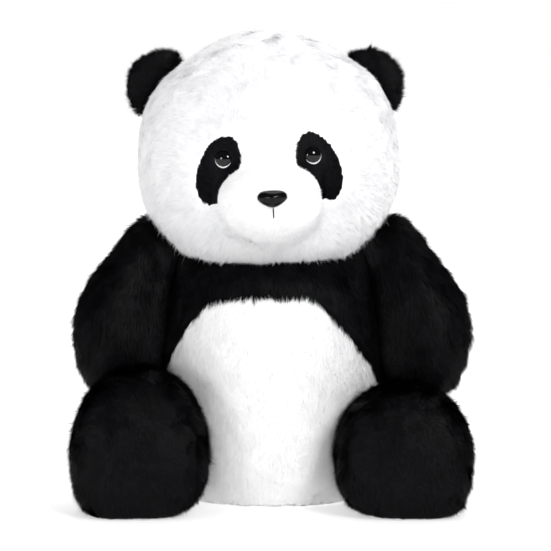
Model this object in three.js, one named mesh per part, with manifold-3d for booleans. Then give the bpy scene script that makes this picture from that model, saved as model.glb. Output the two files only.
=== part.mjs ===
// A seated plush panda, 450 mm tall, as a three.js scene graph of its sewn panels, stuffing and hardware.
// Millimetres, +Z up, the face looks along -Y. The origin is the middle of the flat seat, on the ground.
// "left" is the toy's own left, which is +X.
// Every fabric shell is as thick as its backing and pile together.
import * as THREE from "three";
import { mergeVertices } from "three/addons/utils/BufferGeometryUtils.js";
import Module from "manifold-3d";

const wasm = await Module();
wasm.setup();

// ---------------------------------------------------------------- driving dimensions

const GAP = 0.3; // between sewn neighbours
const LONG_PILE = 7; // shell of long fur on the head, torso and limbs
const SHORT_PILE = 3; // shell of clipped fur on the muzzle and the eye patches

const HEAD = { centre: [0, 0, 341], half: [124, 108, 108], crown: 2, jowl: 2.5, slack: 2.7 };
const NECK = { pivot: [0, 4, 256], radius: 42, slack: 1.2 };
const NOD = 7; // degrees that the head nods each way
const TURN = 25; // degrees that the head turns each way
const HEAD_TURN = 0; // degrees at rest, towards the toy's left
const HEAD_LEAN = 2.5; // degrees at rest, the toy's left side up

const MUZZLE = { centre: [0, -93, 292], half: [50, 42, 35], power: 2.2, chinLine: 279 };
const GUSSET_HALF = 34; // forehead panel, half width
const CROWN_SEAM = 28; // y of the ear-to-ear seam
const BROW_SEAM = 318; // z where the forehead panel meets the muzzle

const EYE = { x: 41, z: 329, radius: 8.4, dome: 5.5, disc: 1.6, stem: 2.6, stemLength: 17, outward: 12 };
const PATCH = { x: 46, z: 319, halfWidth: 18.5, halfHeight: 33, slant: 22 };
const WASHER = { radius: 9, thickness: 1.6 };
const NOSE = { z: 295, width: 28, height: 17, depth: 8, stem: 3, stemLength: 22 };
const MOUTH = { length: 11, radius: 0.8 };
const EAR = { x: 102, y: 6, z: 397, radius: 36, thickness: 25, root: 7, slope: 47, sink: -2, lift: 4.2 };

const TORSO = { centre: [0, 8, 128], half: [112, 100, 160], power: 3 };
const SIDE = { x: 103, z: 165, slope: 14 }; // the sloping flat that each arm is sewn to
const BELLY = { half: 106, shoulder: 95, top: 202, power: 2.8, seam: 8 };
const YOKE = { frontHem: 118, backHem: 160 };
const PELLETS = { centre: [0, 22, 24], half: [54, 44, 20] };
const TAIL = { centre: [0, 106, 50], half: [24, 22, 22] };

const ARM = { shoulderZ: 222, y: 3, out: 45, thick: 46, along: 44, half: 85, deep: 48, power: 2.3, tuck: 6 };
const ARM_ROOT = { inner: 21, outer: 33, depth: 30 }; // the cone from the sewn disc into the arm
const ARM_FORWARD = 8; // degrees at rest

const LEG = { x: 122, y: -72, z: 60, radius: 64, front: -146, edge: 24, dome: 5, steps: 2, slack: 1.2 };
const SOLE_RADIUS = 47;
const LEG_LIFT = 16; // degrees that a foot can be raised

// How finely a form's surface is divided
const FINE = 5;
const MEDIUM = 4;
const COARSE = 3;
const SMALL = 2;

const ASH_WHITE = { color: 0xf4f3f2, roughness: 0.95 };
const CREAM_WHITE = { color: 0xf6f5f3, roughness: 0.92 };
const SOFT_BLACK = { color: 0x121214, roughness: 0.9 };
const FILLING = { color: 0xe9eaec, roughness: 1 };
const GLOSS_BLACK = { color: 0x050506, roughness: 0.08 };
const CLEAR_LENS = { color: 0x15161a, roughness: 0.04 };
const MILKY_PLASTIC = { color: 0xd8d8d4, roughness: 0.5 };
const CALICO = { color: 0xd9cfba, roughness: 0.9 };

// ---------------------------------------------------------------- geometry to solids and back

/** A manifold solid of a closed geometry. */
function solidOf(geometry, matrix = new THREE.Matrix4()) {
  const bare = geometry.clone().applyMatrix4(matrix);
  bare.deleteAttribute("normal");
  bare.deleteAttribute("uv");
  const merged = mergeVertices(bare, 1e-3);
  return new wasm.Manifold(
    new wasm.Mesh({
      numProp: 3,
      vertProperties: new Float32Array(merged.attributes.position.array),
      triVerts: new Uint32Array(merged.index.array),
    }),
  );
}

/** The geometry of a manifold solid. */
function geometryOf(solid) {
  const mesh = solid.getMesh();
  const geometry = new THREE.BufferGeometry();
  geometry.setAttribute("position", new THREE.BufferAttribute(mesh.vertProperties, 3));
  geometry.setIndex(new THREE.BufferAttribute(mesh.triVerts, 1));
  return geometry;
}

/** A matrix that turns by degrees about X, Y and Z, then moves to a point. */
function placed(point, degrees = [0, 0, 0]) {
  const [x, y, z] = degrees.map(THREE.MathUtils.degToRad);
  const turn = new THREE.Matrix4().makeRotationFromEuler(new THREE.Euler(x, y, z));
  return turn.setPosition(...point);
}

// ---------------------------------------------------------------- basic shapes

/** A stuffed form: an oval about Z whose profile squares off with a power of its own above and below. */
function plump(half, powers, detail, matrix) {
  const ball = new THREE.IcosahedronGeometry(1, detail);
  const points = ball.attributes.position;
  for (let i = 0; i < points.count; i += 1) {
    const [x, y, z] = [points.getX(i), points.getY(i), points.getZ(i)];
    const power = z > 0 ? powers[0] : powers[1];
    const reach = (Math.hypot(x, y) ** power + Math.abs(z) ** power) ** (-1 / power);
    points.setXYZ(i, x * reach * half[0], y * reach * half[1], z * reach * half[2]);
  }
  return solidOf(ball, matrix);
}

/** A block between two corners. */
function block(low, high) {
  const size = high.map((value, i) => value - low[i]);
  const middle = high.map((value, i) => (value + low[i]) / 2);
  return solidOf(new THREE.BoxGeometry(...size), placed(middle));
}

/** A shape drawn in x and z, as a prism from one y to another. */
function prism(shape, yFrom, yTo, segments = 16) {
  const depth = yTo - yFrom;
  const geometry = new THREE.ExtrudeGeometry(shape, { depth, bevelEnabled: false, curveSegments: segments });
  return solidOf(geometry, placed([0, yTo, 0], [90, 0, 0]));
}

/** A round bar along Y from one y to another, about a point in x and z. */
function barAlongY(x, z, radius, yFrom, yTo, sides = 16) {
  const bar = new THREE.CylinderGeometry(radius, radius, yTo - yFrom, sides);
  return solidOf(bar, placed([x, (yFrom + yTo) / 2, z]));
}

const FAR = 600; // beyond every piece, for the cutting blocks
const above = (z) => block([-FAR, -FAR, z], [FAR, FAR, FAR]);
const below = (z) => block([-FAR, -FAR, -FAR], [FAR, FAR, z]);
const behind = (y) => block([-FAR, y, -FAR], [FAR, FAR, FAR]);
const before = (y) => block([-FAR, -FAR, -FAR], [FAR, y, FAR]);
const onSide = (side, x = 0) =>
  side > 0 ? block([x, -FAR, -FAR], [FAR, FAR, FAR]) : block([-FAR, -FAR, -FAR], [-x, FAR, FAR]);
const grown = (half, by) => half.map((value) => value + by);

// ---------------------------------------------------------------- the scene graph

const panda = new THREE.Group();
panda.name = "plush_panda";

/** A sub-group of the toy. */
function section(name) {
  const group = new THREE.Group();
  group.name = name;
  panda.add(group);
  return group;
}

/** Adds one named piece. */
function addPiece(group, name, solid, finish) {
  const material = new THREE.MeshStandardMaterial({ metalness: 0, ...finish });
  const mesh = new THREE.Mesh(geometryOf(solid), material);
  mesh.name = name;
  group.add(mesh);
}

const SIDES = [
  { side: 1, label: "left" },
  { side: -1, label: "right" },
];

// ---------------------------------------------------------------- shapes that neighbours share

const headShape = (by, detail) =>
  plump(grown(HEAD.half, by), [HEAD.crown, HEAD.jowl], detail, placed(HEAD.centre));
const neckBall = (by) =>
  plump(grown([NECK.radius, NECK.radius, NECK.radius], by), [2, 2], COARSE, placed(NECK.pivot));
const headRest = () =>
  new THREE.Quaternion().setFromEuler(
    new THREE.Euler(0, THREE.MathUtils.degToRad(-HEAD_LEAN), THREE.MathUtils.degToRad(HEAD_TURN), "ZYX"),
  );

/** Everything that the head passes through as it nods and turns about the neck. */
function headRoom(by) {
  const rest = new THREE.Matrix4().makeRotationFromQuaternion(headRest());
  const toPivot = new THREE.Matrix4().makeTranslation(...NECK.pivot.map((value) => -value));
  const atPivot = new THREE.Matrix4().makeTranslation(...NECK.pivot);
  const still = headShape(by, COARSE);
  const poses = [-NOD, NOD].flatMap((nod) => [-TURN, TURN].map((turn) => [nod, turn]));
  return poses
    .map(([nod, turn]) => {
      const moved = placed([0, 0, 0], [nod, 0, 0]).multiply(placed([0, 0, 0], [0, 0, turn]));
      return still.transform(atPivot.clone().multiply(moved).multiply(rest).multiply(toPivot).elements);
    })
    .reduce((room, pose) => room.add(pose));
}
const muzzleShape = (by, detail) =>
  plump(grown(MUZZLE.half, by), [MUZZLE.power, MUZZLE.power], detail, placed(MUZZLE.centre));

/** y of the head's front surface at x and z. */
function faceY(x, z) {
  const [, cy, cz] = HEAD.centre;
  const rise = (z - cz) / HEAD.half[2];
  const power = rise > 0 ? HEAD.crown : HEAD.jowl;
  const shrink = (1 - Math.abs(rise) ** power) ** (1 / power);
  return cy - HEAD.half[1] * Math.sqrt(shrink ** 2 - (x / HEAD.half[0]) ** 2);
}

/** The matrix that carries an eye's own frame, with its front along -Y, to its place on the face. */
const eyePlace = (side) =>
  placed([side * EYE.x, faceY(EYE.x, EYE.z) + 1, EYE.z], [0, 0, side * EYE.outward]);

/** The bean outline of an eye patch, in x and z. */
function patchOutline(side, by) {
  const tilt = THREE.MathUtils.degToRad(side * PATCH.slant);
  const outline = new THREE.Shape();
  outline.absellipse(
    side * PATCH.x,
    PATCH.z,
    PATCH.halfWidth + by,
    PATCH.halfHeight + by,
    0,
    2 * Math.PI,
    false,
    tilt,
  );
  return outline;
}

/** The bar of an ear's sewn root, along the head's outline. */
function earRoot(side, by) {
  const bar = new THREE.CylinderGeometry(EAR.root + by, EAR.root + by, EAR.radius * 1.3 + 2 * by, 14);
  return solidOf(bar, earHinge(side));
}

/** The ear's hinge frame: its own Z runs along the root bar. */
function earHinge(side) {
  const slope = THREE.MathUtils.degToRad(EAR.slope);
  const point = [side * (EAR.x - EAR.sink * Math.sin(slope)), EAR.y, EAR.z - EAR.sink * Math.cos(slope)];
  const along = new THREE.Vector3(side * Math.cos(slope), 0, -Math.sin(slope));
  const turn = new THREE.Quaternion().setFromUnitVectors(new THREE.Vector3(0, 1, 0), along);
  return new THREE.Matrix4().compose(new THREE.Vector3(...point), turn, new THREE.Vector3(1, 1, 1));
}

// ---------------------------------------------------------------- head

/** The hollow that an eye's stem and washer take in the fabric and the stuffing. */
function eyeHollow(side) {
  const place = eyePlace(side);
  const stem = new THREE.CylinderGeometry(EYE.stem + GAP, EYE.stem + GAP, EYE.stemLength + 4, 12);
  const stemPlace = place.clone().multiply(placed([0, EYE.stemLength / 2 + 1, 0]));
  const [radius, depth] = [WASHER.radius + GAP, WASHER.thickness + 2 * GAP];
  const washer = new THREE.CylinderGeometry(radius, radius, depth, 20);
  const washerPlace = place.clone().multiply(placed([0, washerY(), 0]));
  return solidOf(stem, stemPlace).add(solidOf(washer, washerPlace));
}

/** How far behind an eye's back face its washer sits: just under the fabric. */
function washerY() {
  return LONG_PILE + WASHER.thickness / 2 + 3;
}

function addEye(group, { side, label }) {
  const place = eyePlace(side);
  const dome = plump([EYE.radius, EYE.dome, EYE.radius], [2, 2], SMALL);
  const lens = dome.subtract(behind(-GAP / 2));
  addPiece(group, `${label}_eye_lens`, lens.transform(place.elements), CLEAR_LENS);

  const disc = new THREE.CylinderGeometry(EYE.radius, EYE.radius, EYE.disc, 20);
  const stem = new THREE.CylinderGeometry(EYE.stem, EYE.stem, EYE.stemLength, 12);
  const back = solidOf(disc, placed([0, EYE.disc / 2 + GAP / 2, 0]));
  const withStem = back.add(solidOf(stem, placed([0, EYE.stemLength / 2 + GAP, 0])));
  addPiece(group, `${label}_eye_back`, withStem.transform(place.elements), GLOSS_BLACK);

  const plate = new THREE.CylinderGeometry(WASHER.radius, WASHER.radius, WASHER.thickness, 20);
  const hole = new THREE.CylinderGeometry(EYE.stem + GAP, EYE.stem + GAP, 3 * WASHER.thickness, 12);
  const washer = solidOf(plate).subtract(solidOf(hole));
  const washerPlace = place.clone().multiply(placed([0, washerY(), 0]));
  addPiece(group, `${label}_eye_washer`, washer.transform(washerPlace.elements), MILKY_PLASTIC);
}

/** The rounded triangle of the nose, in x and z about its middle. */
function noseOutline() {
  const half = NOSE.width / 2;
  const top = NOSE.height / 2;
  const tip = -NOSE.height / 2;
  const outline = new THREE.Shape();
  outline.moveTo(0, top);
  const shoulder = top - NOSE.height * 0.3;
  const jaw = tip + NOSE.height * 0.35;
  outline.bezierCurveTo(half * 0.7, top, half, top - 1, half, shoulder);
  outline.bezierCurveTo(half, jaw, half * 0.4, tip, 0, tip);
  outline.bezierCurveTo(-half * 0.4, tip, -half, jaw, -half, shoulder);
  outline.bezierCurveTo(-half, top - 1, -half * 0.7, top, 0, top);
  return outline;
}

/** y of the muzzle's front surface at z, on its middle line. */
function muzzleY(z) {
  const [, cy, cz] = MUZZLE.centre;
  const rise = Math.abs((z - cz) / MUZZLE.half[2]);
  return cy - MUZZLE.half[1] * (1 - rise ** MUZZLE.power) ** (1 / MUZZLE.power);
}

const noseBackY = () => muzzleY(NOSE.z) + 1.5;
const noseWasherY = () => noseBackY() + 11;

/** The nose's moulded button, from a plump form trimmed to the rounded triangle. */
function noseButton(by) {
  const trim = prism(noseOutline(), -NOSE.depth - 2, 0, 4);
  const swell = plump([NOSE.width * 0.56, NOSE.depth, NOSE.height * 0.62], [2, 2], SMALL);
  const button = trim.intersect(swell).subtract(behind(-0.2));
  const size = 1 + (2 * by) / NOSE.width;
  return button.scale([size, 1, size]).translate([0, noseBackY(), NOSE.z]);
}

function noseStem(by) {
  const from = noseBackY() - 2;
  const to = noseBackY() + NOSE.stemLength + by;
  return barAlongY(0, NOSE.z, NOSE.stem + by, from, to, 12);
}

function addNose(group) {
  addPiece(group, "nose", noseButton(0).add(noseStem(0)), GLOSS_BLACK);
  const [from, to] = [noseWasherY(), noseWasherY() + WASHER.thickness];
  const plate = barAlongY(0, NOSE.z, WASHER.radius, from, to, 20);
  addPiece(group, "nose_washer", plate.subtract(noseStem(GAP)), MILKY_PLASTIC);
}

/** The thread of the mouth, laid down the muzzle under the nose. */
function addMouth(group) {
  const top = NOSE.z - NOSE.height / 2 - 1;
  const lift = MOUTH.radius + 0.5;
  const points = [0, 0.5, 1].map((share) => {
    const z = top - share * MOUTH.length;
    return new THREE.Vector3(0, muzzleY(z) - lift, z);
  });
  const section = new THREE.Shape();
  section.absarc(0, 0, MOUTH.radius, 0, 2 * Math.PI);
  const thread = new THREE.ExtrudeGeometry(section, {
    steps: 6,
    curveSegments: 4,
    extrudePath: new THREE.CatmullRomCurve3(points),
  });
  addPiece(group, "mouth_stitch", solidOf(thread), SOFT_BLACK);
}

/** The muzzle: a clipped-fur cap, its chin piece and the stuffing that fills it. */
function addMuzzle(group) {
  const base = headShape(GAP, FINE);
  const hardware = noseStem(GAP);
  const bulge = muzzleShape(0, COARSE).subtract(base);
  const inside = muzzleShape(-SHORT_PILE, SMALL);
  const cap = bulge.subtract(inside).subtract(hardware).subtract(noseButton(GAP));
  addPiece(group, "muzzle_panel", cap.intersect(above(MUZZLE.chinLine + GAP / 2)), CREAM_WHITE);
  addPiece(group, "chin_panel", cap.intersect(below(MUZZLE.chinLine - GAP / 2)), CREAM_WHITE);

  const [from, to] = [noseWasherY() - GAP, noseWasherY() + WASHER.thickness + GAP];
  const washerRoom = barAlongY(0, NOSE.z, WASHER.radius + GAP, from, to, 20);
  const core = muzzleShape(-SHORT_PILE - GAP, SMALL).subtract(headShape(-LONG_PILE, COARSE));
  const filling = core.subtract(hardware).subtract(washerRoom);
  addPiece(group, "muzzle_stuffing", filling, FILLING);
}

/** The patch set into the face around an eye, cut back where the muzzle swells into it. */
function addPatch(group, { side, label }) {
  const reach = prism(patchOutline(side, 0), -FAR, -20, 12);
  const skin = headShape(0.8, FINE).subtract(headShape(-LONG_PILE, COARSE));
  const patch = skin.intersect(reach).subtract(muzzleShape(GAP, COARSE)).subtract(eyeHollow(side));
  const seat = new THREE.CylinderGeometry(EYE.radius + GAP, EYE.radius + GAP, 12, 16);
  const seatPlace = eyePlace(side).multiply(placed([0, EYE.disc + GAP - 6, 0]));
  addPiece(group, `${label}_eye_patch`, patch.subtract(solidOf(seat, seatPlace)), SOFT_BLACK);
}

/** The five panels of the head's fur and the stuffing inside them. */
function addHeadPanels(group) {
  let skin = headShape(0, FINE).subtract(headShape(-LONG_PILE, COARSE));
  let filling = headShape(-LONG_PILE - GAP, COARSE);
  skin = skin.subtract(neckBall(NECK.slack)).subtract(muzzleShape(GAP, COARSE));
  filling = filling.subtract(neckBall(NECK.slack));
  for (const { side } of SIDES) {
    skin = skin.subtract(prism(patchOutline(side, GAP), -FAR, -20, 12));
    skin = skin.subtract(earRoot(side, GAP));
    filling = filling.subtract(earRoot(side, GAP)).subtract(eyeHollow(side));
  }
  addPiece(group, "head_stuffing", filling, FILLING);

  const gusset = block(
    [-GUSSET_HALF, -FAR, BROW_SEAM],
    [GUSSET_HALF, CROWN_SEAM - GAP / 2, FAR],
  );
  const gussetRoom = block(
    [-GUSSET_HALF - GAP, -FAR, BROW_SEAM - GAP],
    [GUSSET_HALF + GAP, CROWN_SEAM, FAR],
  );
  addPiece(group, "forehead_panel", skin.intersect(gusset), ASH_WHITE);
  const face = skin.intersect(before(CROWN_SEAM - GAP / 2)).subtract(gussetRoom);
  const back = skin.intersect(behind(CROWN_SEAM + GAP / 2));
  for (const { side, label } of SIDES) {
    addPiece(group, `head_${label}_side_panel`, face.intersect(onSide(side, GAP / 2)), ASH_WHITE);
    addPiece(group, `head_${label}_back_panel`, back.intersect(onSide(side, GAP / 2)), ASH_WHITE);
  }
}

/** An ear of two furry faces, sewn round their edge, with its root let into the head. */
function addEar(group, { side, label }) {
  const place = placed([side * EAR.x, EAR.y, EAR.z]);
  const disc = plump([EAR.radius, EAR.thickness / 2, EAR.radius], [2.1, 2.1], COARSE, place);
  const ear = disc.subtract(headShape(EAR.lift, COARSE)).add(earRoot(side, 0));
  addPiece(group, `${label}_ear_front_panel`, ear.intersect(before(EAR.y - GAP / 2)), SOFT_BLACK);
  addPiece(group, `${label}_ear_back_panel`, ear.intersect(behind(EAR.y + GAP / 2)), SOFT_BLACK);
}

/** The head group, turned and leant about the neck as the toy wears it. */
function addHead() {
  const head = section("head");
  addHeadPanels(head);
  addMuzzle(head);
  addNose(head);
  addMouth(head);
  for (const which of SIDES) {
    addPatch(head, which);
    addEye(head, which);
    addEar(head, which);
  }
  const pivot = new THREE.Vector3(...NECK.pivot);
  const rest = headRest();
  head.quaternion.copy(rest);
  head.position.copy(pivot.clone().sub(pivot.clone().applyQuaternion(rest)));
}

// ---------------------------------------------------------------- legs

/** A leg's form: a ball at the hip, a drum and a softly domed sole, flat where it meets the ground. */
function legShape(side, by, lift = 0) {
  const radius = LEG.radius + by;
  const profile = new THREE.Path();
  const reach = LEG.y - LEG.front + by;
  const edge = LEG.edge + by;
  profile.absarc(0, 0, radius, -Math.PI / 2, 0, false);
  profile.absarc(radius - edge, reach - edge, edge, 0, Math.PI / 2, false);
  profile.quadraticCurveTo((radius - edge) / 2, reach + LEG.dome, 0, reach + LEG.dome);
  const outline = profile.getPoints(LEG.steps);
  outline[0].x = 0;
  outline[outline.length - 1].x = 0;
  const form = new THREE.LatheGeometry(outline, 16);
  const hip = placed([side * LEG.x, LEG.y, LEG.z], [180 - lift, 0, 0]);
  return solidOf(form, hip);
}

/** Everything that a leg passes through between the ground and its highest lift. */
function legRoom(side, by) {
  const radius = LEG.radius + by + LEG.slack;
  const hipBall = plump([radius, radius, radius], [2, 2], COARSE, placed([side * LEG.x, LEG.y, LEG.z]));
  return hipBall.add(legShape(side, by)).add(legShape(side, by, LEG_LIFT));
}

function addLeg({ side, label }) {
  const leg = section(`${label}_leg`);
  const outside = legShape(side, 0).subtract(below(0));
  const core = legShape(side, -LONG_PILE).subtract(below(LONG_PILE));
  const skin = outside.subtract(core);
  const sole = barAlongY(side * LEG.x, LEG.z, SOLE_RADIUS, LEG.front - 40, LEG.front + 20, 24);
  const soleRoom = barAlongY(side * LEG.x, LEG.z, SOLE_RADIUS + GAP, LEG.front - 40, LEG.front + 20, 24);
  const wrap = skin.subtract(soleRoom);
  addPiece(leg, `${label}_leg_upper_panel`, wrap.intersect(above(LEG.z + GAP / 2)), SOFT_BLACK);
  addPiece(leg, `${label}_leg_lower_panel`, wrap.intersect(below(LEG.z - GAP / 2)), SOFT_BLACK);
  addPiece(leg, `${label}_sole`, skin.intersect(sole), SOFT_BLACK);
  const filling = legShape(side, -LONG_PILE - GAP).subtract(below(LONG_PILE + GAP));
  addPiece(leg, `${label}_leg_stuffing`, filling, FILLING);
}

// ---------------------------------------------------------------- arms

/** The frame of a shoulder: X out of the sewn disc, -Z down the arm, at the middle of the disc. */
function shoulderPlace(side) {
  const slope = THREE.MathUtils.degToRad(SIDE.slope);
  const x = SIDE.x - (ARM.shoulderZ - SIDE.z) * Math.tan(slope);
  const place = placed([side * x, ARM.y, ARM.shoulderZ], [0, -side * SIDE.slope, 0]);
  return place.multiply(placed([0, 0, 0], [-ARM_FORWARD, 0, 0]));
}

/** An arm's form in the shoulder's frame, carried to its place. */
function armShape(side, by, detail) {
  const middle = placed([side * ARM.out, 0, -ARM.along], [0, side * ARM.tuck, 0]);
  const half = grown([ARM.thick, ARM.deep, ARM.half], by);
  const limb = plump(half, [ARM.power, ARM.power], detail, middle);
  const cone = new THREE.CylinderGeometry(ARM_ROOT.outer + by, ARM_ROOT.inner + by, ARM_ROOT.depth, 16);
  const root = solidOf(cone, placed([(side * ARM_ROOT.depth) / 2, 0, 0], [0, 0, -90 * side]));
  return limb.add(root).transform(shoulderPlace(side).elements);
}

/** The half space on the arm's side of the sewn disc, kept a little off it. */
function outsideOfDisc(side, off) {
  const slab = solidOf(new THREE.BoxGeometry(FAR, FAR, FAR), placed([side * (FAR / 2 + off), 0, 0]));
  return slab.transform(shoulderPlace(side).elements);
}

function addArm({ side, label }) {
  const arm = section(`${label}_arm`);
  const outside = armShape(side, 0, MEDIUM).intersect(outsideOfDisc(side, GAP));
  const core = armShape(side, -LONG_PILE, SMALL).intersect(outsideOfDisc(side, LONG_PILE));
  const skin = outside.subtract(core);
  const outer = outsideOfDisc(side, ARM.out + GAP / 2);
  const innerRoom = outsideOfDisc(side, ARM.out - GAP / 2);
  addPiece(arm, `${label}_arm_outer_panel`, skin.intersect(outer), SOFT_BLACK);
  addPiece(arm, `${label}_arm_inner_panel`, skin.subtract(innerRoom), SOFT_BLACK);
  const filling = armShape(side, -LONG_PILE - GAP, SMALL).intersect(outsideOfDisc(side, LONG_PILE + GAP));
  addPiece(arm, `${label}_arm_stuffing`, filling, FILLING);
}

// ---------------------------------------------------------------- torso

/** The torso's form, trimmed by the seat, the arms' flats, the head's bowl and the legs. */
function torsoShape(by, detail) {
  let form = plump(grown(TORSO.half, by), [TORSO.power, TORSO.power], detail, placed(TORSO.centre));
  form = form.subtract(below(-by)).subtract(headRoom(HEAD.slack - by)).subtract(neckBall(NECK.slack));
  for (const { side } of SIDES) {
    form = form.subtract(outsideOfDisc(side, by)).subtract(legRoom(side, GAP - by));
  }
  return form;
}

/** The white belly's outline: flat-topped with round shoulders, straight down to the seat. */
function bellyOutline(by) {
  const half = BELLY.half + by;
  const rise = BELLY.top - BELLY.shoulder + by;
  const outline = new THREE.Shape();
  outline.moveTo(half, -10);
  outline.lineTo(-half, -10);
  const steps = 20;
  for (let i = 0; i <= steps; i += 1) {
    const angle = Math.PI * (1 - i / steps);
    const x = Math.sign(Math.cos(angle)) * Math.abs(Math.cos(angle)) ** (2 / BELLY.power);
    const z = Math.abs(Math.sin(angle)) ** (2 / BELLY.power);
    outline.lineTo(x * half, BELLY.shoulder + z * rise);
  }
  return outline;
}

function addTorso() {
  const torso = section("torso");
  const inside = torsoShape(-LONG_PILE, COARSE);
  const skin = torsoShape(0, FINE).subtract(inside);
  const seat = below(LONG_PILE - GAP);
  const wall = skin.intersect(above(LONG_PILE));
  addPiece(torso, "seat_panel", skin.intersect(seat), ASH_WHITE);

  const front = wall.intersect(before(BELLY.seam - GAP / 2));
  const back = wall.intersect(behind(BELLY.seam + GAP / 2));
  addPiece(torso, "belly_panel", front.intersect(prism(bellyOutline(0), -FAR, FAR)), CREAM_WHITE);
  const flank = front.subtract(prism(bellyOutline(GAP), -FAR, FAR));
  addPiece(torso, "chest_yoke_panel", flank.intersect(above(YOKE.frontHem + GAP / 2)), SOFT_BLACK);
  addPiece(torso, "back_yoke_panel", back.intersect(above(YOKE.backHem + GAP / 2)), SOFT_BLACK);
  const lowerBack = back.intersect(below(YOKE.backHem - GAP / 2));
  for (const { side, label } of SIDES) {
    addPiece(torso, `${label}_lower_back_panel`, lowerBack.intersect(onSide(side, GAP / 2)), ASH_WHITE);
  }

  const pellets = plump(PELLETS.half, [2.4, 2.4], SMALL, placed(PELLETS.centre));
  const pelletRoom = plump(grown(PELLETS.half, GAP), [2.4, 2.4], SMALL, placed(PELLETS.centre));
  addPiece(torso, "pellet_bag", pellets.subtract(below(LONG_PILE + 2 * GAP)), CALICO);
  addPiece(torso, "body_stuffing", torsoShape(-LONG_PILE - GAP, COARSE).subtract(pelletRoom), FILLING);

  const tail = plump(TAIL.half, [2, 2], SMALL, placed(TAIL.centre));
  addPiece(torso, "tail", tail.subtract(torsoShape(GAP, FINE)), ASH_WHITE);
}

function addNeck() {
  addPiece(section("neck"), "neck_stuffing", neckBall(0), FILLING);
}

addTorso();
addNeck();
addHead();
for (const which of SIDES) {
  addArm(which);
  addLeg(which);
}

export default panda;
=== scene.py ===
"""A seated plush panda in long faux fur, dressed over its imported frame.

Every limb is a stuffed form with a knitted backing, and the pile on it is real blades of
fibre, sewn panel by panel. Lengths in the sizes are millimetres unless a name says metres.
"""

import itertools
import logging
import math
from dataclasses import dataclass
from enum import Enum

import bmesh
import bpy
import numpy as np
from mathutils import Matrix, Vector
from mathutils.bvhtree import BVHTree


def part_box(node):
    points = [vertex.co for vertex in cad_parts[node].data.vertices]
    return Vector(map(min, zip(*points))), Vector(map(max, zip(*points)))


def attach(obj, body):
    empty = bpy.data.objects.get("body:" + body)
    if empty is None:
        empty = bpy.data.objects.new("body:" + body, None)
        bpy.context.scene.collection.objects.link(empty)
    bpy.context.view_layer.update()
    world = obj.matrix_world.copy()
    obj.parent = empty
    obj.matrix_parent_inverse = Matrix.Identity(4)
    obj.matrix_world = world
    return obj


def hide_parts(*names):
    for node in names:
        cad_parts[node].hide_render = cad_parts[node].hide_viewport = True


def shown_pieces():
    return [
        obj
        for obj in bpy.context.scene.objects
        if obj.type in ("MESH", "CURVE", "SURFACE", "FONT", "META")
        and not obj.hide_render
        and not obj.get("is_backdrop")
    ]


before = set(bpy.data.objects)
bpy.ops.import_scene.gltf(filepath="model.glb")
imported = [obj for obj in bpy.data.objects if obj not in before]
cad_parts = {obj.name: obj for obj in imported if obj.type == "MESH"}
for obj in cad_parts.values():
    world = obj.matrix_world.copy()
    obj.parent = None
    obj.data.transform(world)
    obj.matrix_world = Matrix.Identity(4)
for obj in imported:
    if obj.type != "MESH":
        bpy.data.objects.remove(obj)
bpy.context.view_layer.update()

LOG = logging.getLogger("panda")
MM = 0.001
FLOOR_GAP = 0.3

# The head leans over a little on the neck.
NECK_PIVOT = Vector((0.0, 4.0, 256.0)) * MM
HEAD_LEAN = math.radians(-2.5)
HEAD_REST = (
    Matrix.Translation(NECK_PIVOT)
    @ Matrix.Rotation(HEAD_LEAN, 4, "Y")
    @ Matrix.Translation(-NECK_PIVOT)
)
DOWN = np.array([0.0, 0.0, -1.0])

# The arms lie against sloping flats on the body's sides, where the fur is pressed thin.
SHOULDER = (88.8, 3.0, 222.0)
SHOULDER_SLOPE = math.radians(14.0)
PRESSED = 3.2


class Side(Enum):
    """The toy's own side, by the sign of its X."""

    LEFT = 1
    RIGHT = -1

    @property
    def label(self) -> str:
        """The side's word in piece and node names."""
        return self.name.lower()


# ---------------------------------------------------------------- numbers


def smoothstep(low: float, high: float, value: np.ndarray) -> np.ndarray:
    """A soft step from 0 at low to 1 at high."""
    share = np.clip((value - low) / (high - low), 0.0, 1.0)
    return share * share * (3.0 - 2.0 * share)


def unit(vectors: np.ndarray) -> np.ndarray:
    """The vectors at length 1."""
    return vectors / np.maximum(np.linalg.norm(vectors, axis=1, keepdims=True), 1e-9)


def flat_on(vectors: np.ndarray, normals: np.ndarray) -> np.ndarray:
    """The part of each vector that lies in the surface with that normal."""
    return vectors - normals * np.sum(vectors * normals, axis=1, keepdims=True)


def wander(points: np.ndarray, size: float, seed: int) -> np.ndarray:
    """Smooth noise, three values from about -1 to 1 for each point.

    Args:
        points: Places in millimetres.
        size: The distance over which the noise changes, in millimetres.
        seed: Picks the noise.

    Returns:
        One row of three values for each point.
    """
    rng = np.random.default_rng(seed)
    waves = unit(rng.normal(size=(18, 3))) * rng.uniform(0.6, 1.4, (18, 1)) * 2 * math.pi / size
    phases = rng.uniform(0, 2 * math.pi, 18)
    ripple = np.sin(points @ waves.T + phases)
    return ripple.reshape(len(points), 3, 6).sum(axis=2) / 2.2


# Large odd numbers that stir a cell's three counts and a seed into one that looks like chance.
MIXERS = (73856093, 19349663, 83492791, 2654435761)
STIRRERS = (np.uint64(2246822519), np.uint64(3266489917))
LOW_BITS = np.uint64(0xFFFFFFFF)


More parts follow.
